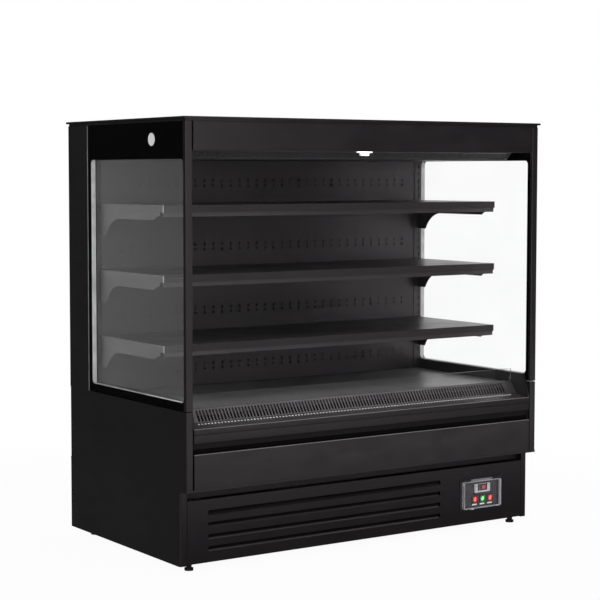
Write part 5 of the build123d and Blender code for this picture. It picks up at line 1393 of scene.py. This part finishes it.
@dataclass
class NightBlind:
    """Night blind under the canopy: tube, wound cloth and the cloth's free end."""

    tube_radius: float = 16.6
    tube_wall: float = 1.3
    tube_chamfer: Flat = (0.4, 1.2)
    tube_steps: int = 48
    pin_radius: float = 4.0
    pin_length: float = 3.5
    wound_inner: float = 17.0
    wound_outer: float = 19.7
    cloth_half: float = 703.5
    cloth_thickness: float = 0.27
    turns: int = 8
    steps: int = 44
    free_thickness: float = 0.4
    free_steps: int = 6
    smooth: float = 50.0

    def build(self) -> None:
        """Build the tube, the cloth on it and the strip down to the bar."""
        low, high = box_of("blind_roller")
        middle = (low + high) / 2
        self.build_tube(middle, (high.x - low.x) / 2)
        self.build_winding(middle)
        self.build_free_end()

    def build_tube(self, middle: Vector, half: float) -> None:
        """Build the tube with its end plugs and pins.

        Args:
            middle: Middle of the tube.
            half: Half its length over the pins.
        """
        face, radius = half - self.pin_length, self.tube_radius
        near, far = self.tube_chamfer
        ends = [
            (self.pin_radius, half), (self.pin_radius, face), (radius - self.tube_wall, face),
            (radius - near, face - near), (radius, face - far),
        ]
        profile = [(r, -x) for r, x in ends] + [(r, x) for r, x in reversed(ends)]
        tube = Stock()
        tube.turned(profile, tuple(middle), Axis.X, self.tube_steps)
        tube.piece("blind_tube", BLIND_METAL, "blind_roller", "blind_aluminium", "blind_roller")

    def build_winding(self, middle: Vector) -> None:
        """Build the cloth that is wound on the tube, as one long spiral.

        Args:
            middle: Middle of the tube.
        """
        half, thick = self.cloth_half, self.cloth_thickness / 2
        total = self.turns * self.steps
        pitch = (self.wound_outer - self.wound_inner - 2 * thick) / total
        loops, length = [], 0.0
        for step in range(total + 1):
            radius = self.wound_outer - thick - pitch * step
            turn = pi - 2 * pi * step / self.steps
            loop = []
            for x, side in ((-half, thick), (half, thick), (half, -thick), (-half, -thick)):
                reach = radius + side
                loop.append((x, middle.y + reach * cos(turn), middle.z + reach * sin(turn)))
            loops.append(loop)
            length += 2 * pi * radius / self.steps if step < total else 0.0
        cloth = Stock()
        cloth.rings(loops)
        piece = cloth.piece(
            "wound_cloth", CLOTH, "blind_roller", "blind_cloth", "blind_roller",
            smooth=self.smooth,
        )

    def build_free_end(self) -> None:
        """Build the strip of cloth from the roller down to the bar, which is pulled out."""
        low, high = box_of("blind_fabric")
        y, thick = (low.y + high.y) / 2, self.free_thickness / 2
        drop, steps = low.z - high.z, self.free_steps
        levels = [high.z + drop * step / steps for step in range(steps + 1)]
        loops = [
            [(low.x, y - thick, z), (high.x, y - thick, z), (high.x, y + thick, z),
             (low.x, y + thick, z)]
            for z in levels
        ]
        strip = Stock()
        strip.rings(loops)
        strip.clean()
        mesh = strip.data("blind_cloth_strip")
        mesh.materials.append(CLOTH.material())
        piece = bpy.data.objects.new("blind_cloth_strip", mesh)
        bpy.context.scene.collection.objects.link(piece)
        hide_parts("blind_fabric")
        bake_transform(piece)
        LOG.info("blind_cloth_strip: from the roller to the bar")


@dataclass
class Glazing:
    """Trim of the side glass: edge clips at the back, gaskets at the front."""

    clip: Flat = (5.0, 0.7)
    clip_bite: float = 0.3
    clip_lap: float = 1.0
    gasket: float = 1.6
    gasket_lap: float = 0.8
    gasket_bite: float = 4.3
    gasket_proud: float = 0.25
    reach: Flat = (2.5, 0.5)
    edge: float = 0.3

    def build(self) -> None:
        """Build the clips and gaskets of both sides."""
        low, high = box_of("side_glass")
        clips, gaskets = Stock(), Stock()
        foot, top = low.z - self.reach[0], high.z - self.reach[1]
        front, rear = low.y, high.y + self.clip_lap
        for side in (-1, 1):
            face = side * high.x
            near, far = sorted((face - side * self.clip_bite, face + side * self.clip[1]))
            clips.block((near, rear - self.clip[0], foot), (far, rear, top))
            near, far = sorted((face - side * self.gasket_bite, face + side * self.gasket_proud))
            gaskets.block(
                (near, front - self.gasket_lap, foot), (far, front + self.gasket, top)
            )
        clips.rounded(self.edge)
        clips.piece("glass_edge_clips", EDGE_CLIP, "cabinet", "spacer_aluminium")
        gaskets.rounded(self.edge)
        gaskets.piece("glass_gaskets", GASKET, "cabinet", "bumper_plastic")


@dataclass
class FrontTrim:
    """Bumper, dark sheets of painted shade in the recess, liner nosings and the other trim of the
    front.
    """

    bumper_shape: tuple[Flat, ...] = (
        (0.1, 0.4), (-7.6, 0.4), (-9.6, 1.2), (-10.2, 3.4), (-11.0, 27.4), (-9.8, 28.0),
        (-9.8, 29.4), (-11.7, 30.2), (-11.8, 42.2), (-11.0, 46.4), (-8.9, 48.6), (-5.6, 49.0),
        (0.1, 49.0),
    )
    bumper_edge: float = 0.45
    lining: Flat = (0.6, 0.1)
    shade_split: float = 17.0
    shade_laps: Flat = (0.5, 0.8)
    shade_edge: float = 0.2
    flange: float = 1.4
    stud: float = 5.2
    stud_rise: float = 1.6
    stud_shoulder: Flat = (0.7, 0.6)
    stud_depth: float = 1.4
    stud_pitch: float = 12.8
    stud_count: int = 106
    stud_along: float = 39.6
    ledge: tuple[Flat, Flat] = ((-398.5, 477.0), (-354.5, 484.0))
    hem_radius: float = 2.0
    hem_edge: float = 0.4
    hem_steps: int = 16
    panel_hem: Flat = (0.85, 0.3)
    bumper_hem: Flat = (1.5, 0.8)
    nosing: tuple[Flat, Flat] = ((-410.5, 477.5), (-382.5, 562.0))
    nosing_depth: float = 4.0
    nosing_rise: float = 0.6
    nosing_lap: float = 0.3
    nosing_edge: float = 0.5
    cap_thickness: float = 1.2
    cap_bite: float = 0.1
    cap_laps: Flat = (0.6, 1.5)
    cap_drop: float = 24.6
    cap_rise: float = 0.3
    cap_edge: float = 0.5

    def build(self) -> None:
        """Build every trim piece of the front."""
        self.build_bumper()
        self.build_recess_shade()
        self.build_studs()
        self.build_hems()
        self.build_nosings()
        self.build_caps()

    def build_bumper(self) -> None:
        """Build the bumper, a moulded profile with a groove below its upper bead."""
        low, high = box_of("front_bumper")
        outline = [(high.y + y, low.z + z) for y, z in self.bumper_shape]
        bumper = Stock()
        bumper.prism(outline, Axis.X, low.x, high.x)
        bumper.rounded(self.bumper_edge)
        bumper.piece("bumper_profile", TRIM, "cabinet", "bumper_plastic", "front_bumper")

    def build_recess_shade(self) -> None:
        """Build dark sheets at the back of the shadow gap under the bumper: painted shade above,
        in the near-black of the front paint with little shine, and a deeper painted shadow below.
        """
        bumper, panel = box_of("front_bumper"), box_of("lower_front_panel")
        back = bumper[1].y
        split = panel[1].z + self.shade_split
        foot, top = panel[1].z - self.shade_laps[0], bumper[0].z + self.shade_laps[1]
        # both sheets are painted shade, standing in for the bumper's shadow in the recess
        spans = (
            ("recess_painted_shadow", RECESS_PAINTED_SHADOW, foot, split, self.lining[0]),
            ("recess_painted_shade", RECESS_PAINTED_SHADE, split, top, self.flange),
        )
        for name, finish, start, end, depth in spans:
            lining = Stock()
            lining.block(
                (bumper[0].x, back - depth, start), (bumper[1].x, back - self.lining[1], end)
            )
            lining.rounded(self.shade_edge, 1)
            lining.piece(name, finish, "cabinet", "black_paint")

    def build_studs(self) -> None:
        """Build the pale studs in the square holes of the ledge."""
        start, end = (Vector(point) for point in self.ledge)
        way = (end - start).normalized()
        out = Vector((-way.y, way.x))
        middle = start + self.stud_along * way
        studs = Stock()
        bevel, shoulder = self.stud_shoulder
        levels = (
            (0.0, -self.stud_depth), (0.0, self.stud_rise * shoulder), (bevel, self.stud_rise),
        )
        for place in range(self.stud_count):
            x = (place - (self.stud_count - 1) / 2) * self.stud_pitch
            loops = []
            for inset, rise in levels:
                half = self.stud / 2 - inset
                corners = []
                for side, along in ((-half, -half), (half, -half), (half, half), (-half, half)):
                    spot = middle + along * way + rise * out
                    corners.append((x + side, spot.x, spot.y))
                loops.append(corners)
            studs.rings(loops)
        studs.piece("ledge_studs", PALE_DOT, "cabinet", "interior_paint")

    def build_hems(self) -> None:
        """Build the rolled hems on the lower panel and the bumper, in a pale paint that is a
        painted highlight along their edges.
        """
        radius, edge = self.hem_radius, self.hem_edge
        spots = (
            ("panel_hem", "lower_front_panel", "black_paint", self.panel_hem),
            ("bumper_hem", "front_bumper", "bumper_plastic", self.bumper_hem),
        )
        for name, node, slot, (back, drop) in spots:
            low, high = box_of(node)
            hem = Stock()
            profile = [
                (radius - edge, low.x), (radius, low.x + edge), (radius, high.x - edge),
                (radius - edge, high.x),
            ]
            middle = (0.0, low.y + radius * back, high.z - radius * drop)
            hem.turned(profile, middle, Axis.X, self.hem_steps)
            hem.piece(name, EDGE_HIGHLIGHT_PAINT, "cabinet", slot)

    def build_nosings(self) -> None:
        """Build the black nosings on the slanted front edges of the liner's sides."""
        inner = box_of("shelf_middle")[1].x + self.nosing_lap
        outer = box_of("inner_liner")[1].x + self.nosing_lap
        foot, top = (Vector(point) for point in self.nosing)
        way = (top - foot).normalized()
        out = Vector((-way.y, way.x))
        rise, depth = self.nosing_rise * out, self.nosing_depth * out
        outline = [tuple(point) for point in (foot + rise, top + rise, top - depth, foot - depth)]
        nosings = Stock()
        for side in (-1, 1):
            nosings.prism(outline, Axis.X, *sorted((side * inner, side * outer)))
        nosings.rounded(self.nosing_edge)
        nosings.piece("liner_nosings", GASKET, "cabinet", "interior_paint")

    def build_caps(self) -> None:
        """Build the end caps of the three price rails."""
        low, high = box_of("price_rails")
        near, far = high.x - self.cap_bite, high.x + self.cap_thickness
        front, back = low.y - self.cap_laps[0], high.y + self.cap_laps[1]
        caps = Stock()
        for shelf in ("shelf_bottom", "shelf_middle", "shelf_top"):
            level = box_of(shelf)[1].z
            foot, top = level - self.cap_drop, level + self.cap_rise
            for side in (-1, 1):
                start, end = sorted((side * near, side * far))
                caps.block((start, front, foot), (end, back, top))
        caps.rounded(self.cap_edge)
        caps.piece("rail_end_caps", END_CAP, "cabinet", "bumper_plastic")


@dataclass
class Fixings:
    """Pan-head screws of the rear panels and the round plugs on the side glass."""

    head: tuple[Flat, ...] = ((4.9, 0.0), (4.95, 0.7), (4.5, 1.5), (3.6, 2.2), (2.9, 2.45))
    head_seat: float = 2.5
    recess_depth: float = 1.5
    recess_taper: float = 0.7
    recess_long: float = 2.5
    recess_short: float = 0.75
    plug: tuple[Flat, ...] = (
        (21.4, -0.1), (21.4, 1.1), (20.6, 1.9), (18.9, 1.95), (18.2, 1.35), (2.0, 1.2),
    )
    plug_ring: tuple[Flat, ...] = ((23.6, -0.1), (23.6, 0.45), (21.2, 0.6), (21.2, -0.1))
    plug_least: float = 20.0
    plug_seat: float = 2.0
    plug_steps: int = 56
    steps: int = 24
    same_spot: float = 1e-6

    def build(self) -> None:
        """Build a screw or a plug for every loose part of the CAD fixings."""
        screws, plugs, rings = Stock(), Stock(), Stock()
        for low, high in self.spots():
            middle = (low + high) / 2
            if high.z - low.z > self.plug_least:
                side = 1 if middle.x > 0 else -1
                reach = max(abs(low.x), abs(high.x)) - self.plug_seat
                face = (side * reach, middle.y, middle.z)
                plug = [(r, side * h) for r, h in self.plug]
                plugs.turned(plug, face, Axis.X, self.plug_steps)
                ring = [(r, side * h) for r, h in self.plug_ring]
                rings.turned(ring, face, Axis.X, self.plug_steps, closed=True)
            else:
                self.add_screw(screws, (middle.x, high.y - self.head_seat, middle.z))
        screws.piece("panel_screws", BRIGHT, "cabinet", "bright_fixings", "fasteners")
        plugs.piece("side_plugs", WHITE, "cabinet", "bright_fixings", "fasteners")
        rings.piece("side_plug_rings", GASKET, "cabinet", "bright_fixings", "fasteners")

    def spots(self) -> list[tuple[Vector, Vector]]:
        """Find the loose parts of the CAD fixings.

        Returns:
            Lowest and highest corner of each, in a fixed order.
        """
        mesh = bmesh.new()
        mesh.from_mesh(frame["nodes"]["fasteners"].data)
        bmesh.ops.remove_doubles(mesh, verts=mesh.verts, dist=self.same_spot)
        left = set(mesh.verts)
        found = []
        while left:
            seed = left.pop()
            group, fresh = [seed], [seed]
            while fresh:
                near = {vert for line in fresh.pop().link_edges for vert in line.verts}
                for vert in near & left:
                    left.remove(vert)
                    group.append(vert)
                    fresh.append(vert)
            places = [vert.co / MM for vert in group]
            low = Vector([min(place[way] for place in places) for way in range(3)])
            high = Vector([max(place[way] for place in places) for way in range(3)])
            found.append((low, high))
        mesh.free()
        return sorted(found, key=lambda pair: tuple(round(part, 1) for part in pair[0]))

    def add_screw(self, stock: Stock, face: Point) -> None:
        """Add a screw head with a cross recess, which looks to the back.

        Args:
            stock: The mesh to add to.
            face: Middle of the head on the panel.
        """
        turns = [2 * pi * step / self.steps for step in range(self.steps)]
        loops = [[(radius, height) for _ in turns] for radius, height in self.head]
        top = self.head[-1][1]
        for share, height in ((1.0, top), (self.recess_taper, top - self.recess_depth)):
            loop = []
            for step in range(self.steps):
                arm = step % (self.steps // 4) == 0
                radius = self.recess_long if arm else self.recess_short
                loop.append((radius * share, height))
            loops.append(loop)
        stock.rings([
            [(face[0] + r * cos(turn), face[1] + up, face[2] + r * sin(turn))
             for turn, (r, up) in zip(turns, loop)]
            for loop in loops
        ])


@dataclass
class FanWheel:
    """Axial fan wheel: a domed hub and curved, swept blades."""

    node: str
    tip: float
    hub: float = 26.0
    blades: int = 5
    chord: Flat = (27.0, 25.0)
    sweep: float = 16.0
    rise: Flat = (9.0, 7.5)
    camber: float = 2.4
    thickness: float = 1.5
    bore: float = 4.0
    bore_edge: Flat = (1.5, 0.5)
    nose: tuple[Flat, ...] = ((5.0, 0.0), (1.6, 1.4), (0.0, 5.0))
    back_edge: float = 1.0
    hub_steps: int = 48
    root_bite: float = 1.5
    tip_gap: float = 0.5
    tip_thinning: float = 0.45
    edge_thinning: float = 0.75
    tip_rounding: Flat = (0.16, 0.75)
    stations: int = 7
    points: int = 8
    smooth: float = 40.0

    def build(self) -> None:
        """Build the wheel."""
        low, high = box_of(self.node)
        joint = next(joint for joint in frame["joints"] if joint["child"] == self.node)
        middle = (joint["pos_m"][0] / MM, (low.y + high.y) / 2, joint["pos_m"][2] / MM)
        half = (high.y - low.y) / 2
        radius, bore = self.hub, self.bore
        wide, deep = self.bore_edge
        dome = [(bore, -half + deep), (bore + wide, -half)]
        dome += [(radius - inset, -half + rise) for inset, rise in self.nose]
        dome += [(radius, half - self.back_edge), (radius - self.back_edge, half), (bore, half)]
        wheel = Stock()
        wheel.turned(dome, middle, Axis.Y, self.hub_steps)
        for blade in range(self.blades):
            self.add_blade(wheel, middle, FULL_TURN * blade / self.blades)
        place = (self.node, "fan_plastic", self.node)
        wheel.piece(f"{self.node}_wheel", FAN, *place, smooth=self.smooth)

    def add_blade(self, stock: Stock, middle: Point, start: float) -> None:
        """Add one blade, as sections from the hub to the tip.

        Args:
            stock: The mesh to add to.
            middle: Middle of the wheel.
            start: Its turn about the axis, in degrees.
        """
        loops = []
        for station in range(self.stations):
            out = station / (self.stations - 1)
            root = self.hub - self.root_bite
            radius = root + (self.tip - self.tip_gap - root) * out
            chord = self.chord[0] + (self.chord[1] - self.chord[0]) * out
            rise = self.rise[0] + (self.rise[1] - self.rise[0]) * out
            thick = self.thickness * (1.0 - self.tip_thinning * out) / 2
            narrowing, start_of_tip = self.tip_rounding
            edge = 1.0 - narrowing * max(0.0, out - start_of_tip) / (1.0 - start_of_tip)
            upper, lower = [], []
            for point in range(self.points + 1):
                place = 2.0 * point / self.points - 1.0
                turn = radians(start + self.sweep * out + chord * place * edge)
                y = -rise * place + self.camber * (1.0 - place**2)
                full = thick * (1.0 - self.edge_thinning * place**4)
                for side, row in ((full, upper), (-full, lower)):
                    row.append(
                        (middle[0] + radius * cos(turn), middle[1] + y + side,
                         middle[2] + radius * sin(turn))
                    )
            loops.append(upper + lower[::-1])
        stock.rings(loops)


def main() -> None:
    """Build the studio and dress each sub-assembly in order."""
    logging.basicConfig(level=logging.INFO, format="%(message)s")
    Studio().build()
    paint_nodes()
    ControlStation().build()
    HoneycombOutlet().build()
    NightBlind().build()
    Glazing().build()
    FrontTrim().build()
    Fixings().build()
    for node, tip in FAN_TIPS.items():
        FanWheel(node, tip).build()


if __name__ == "__main__":
    main()
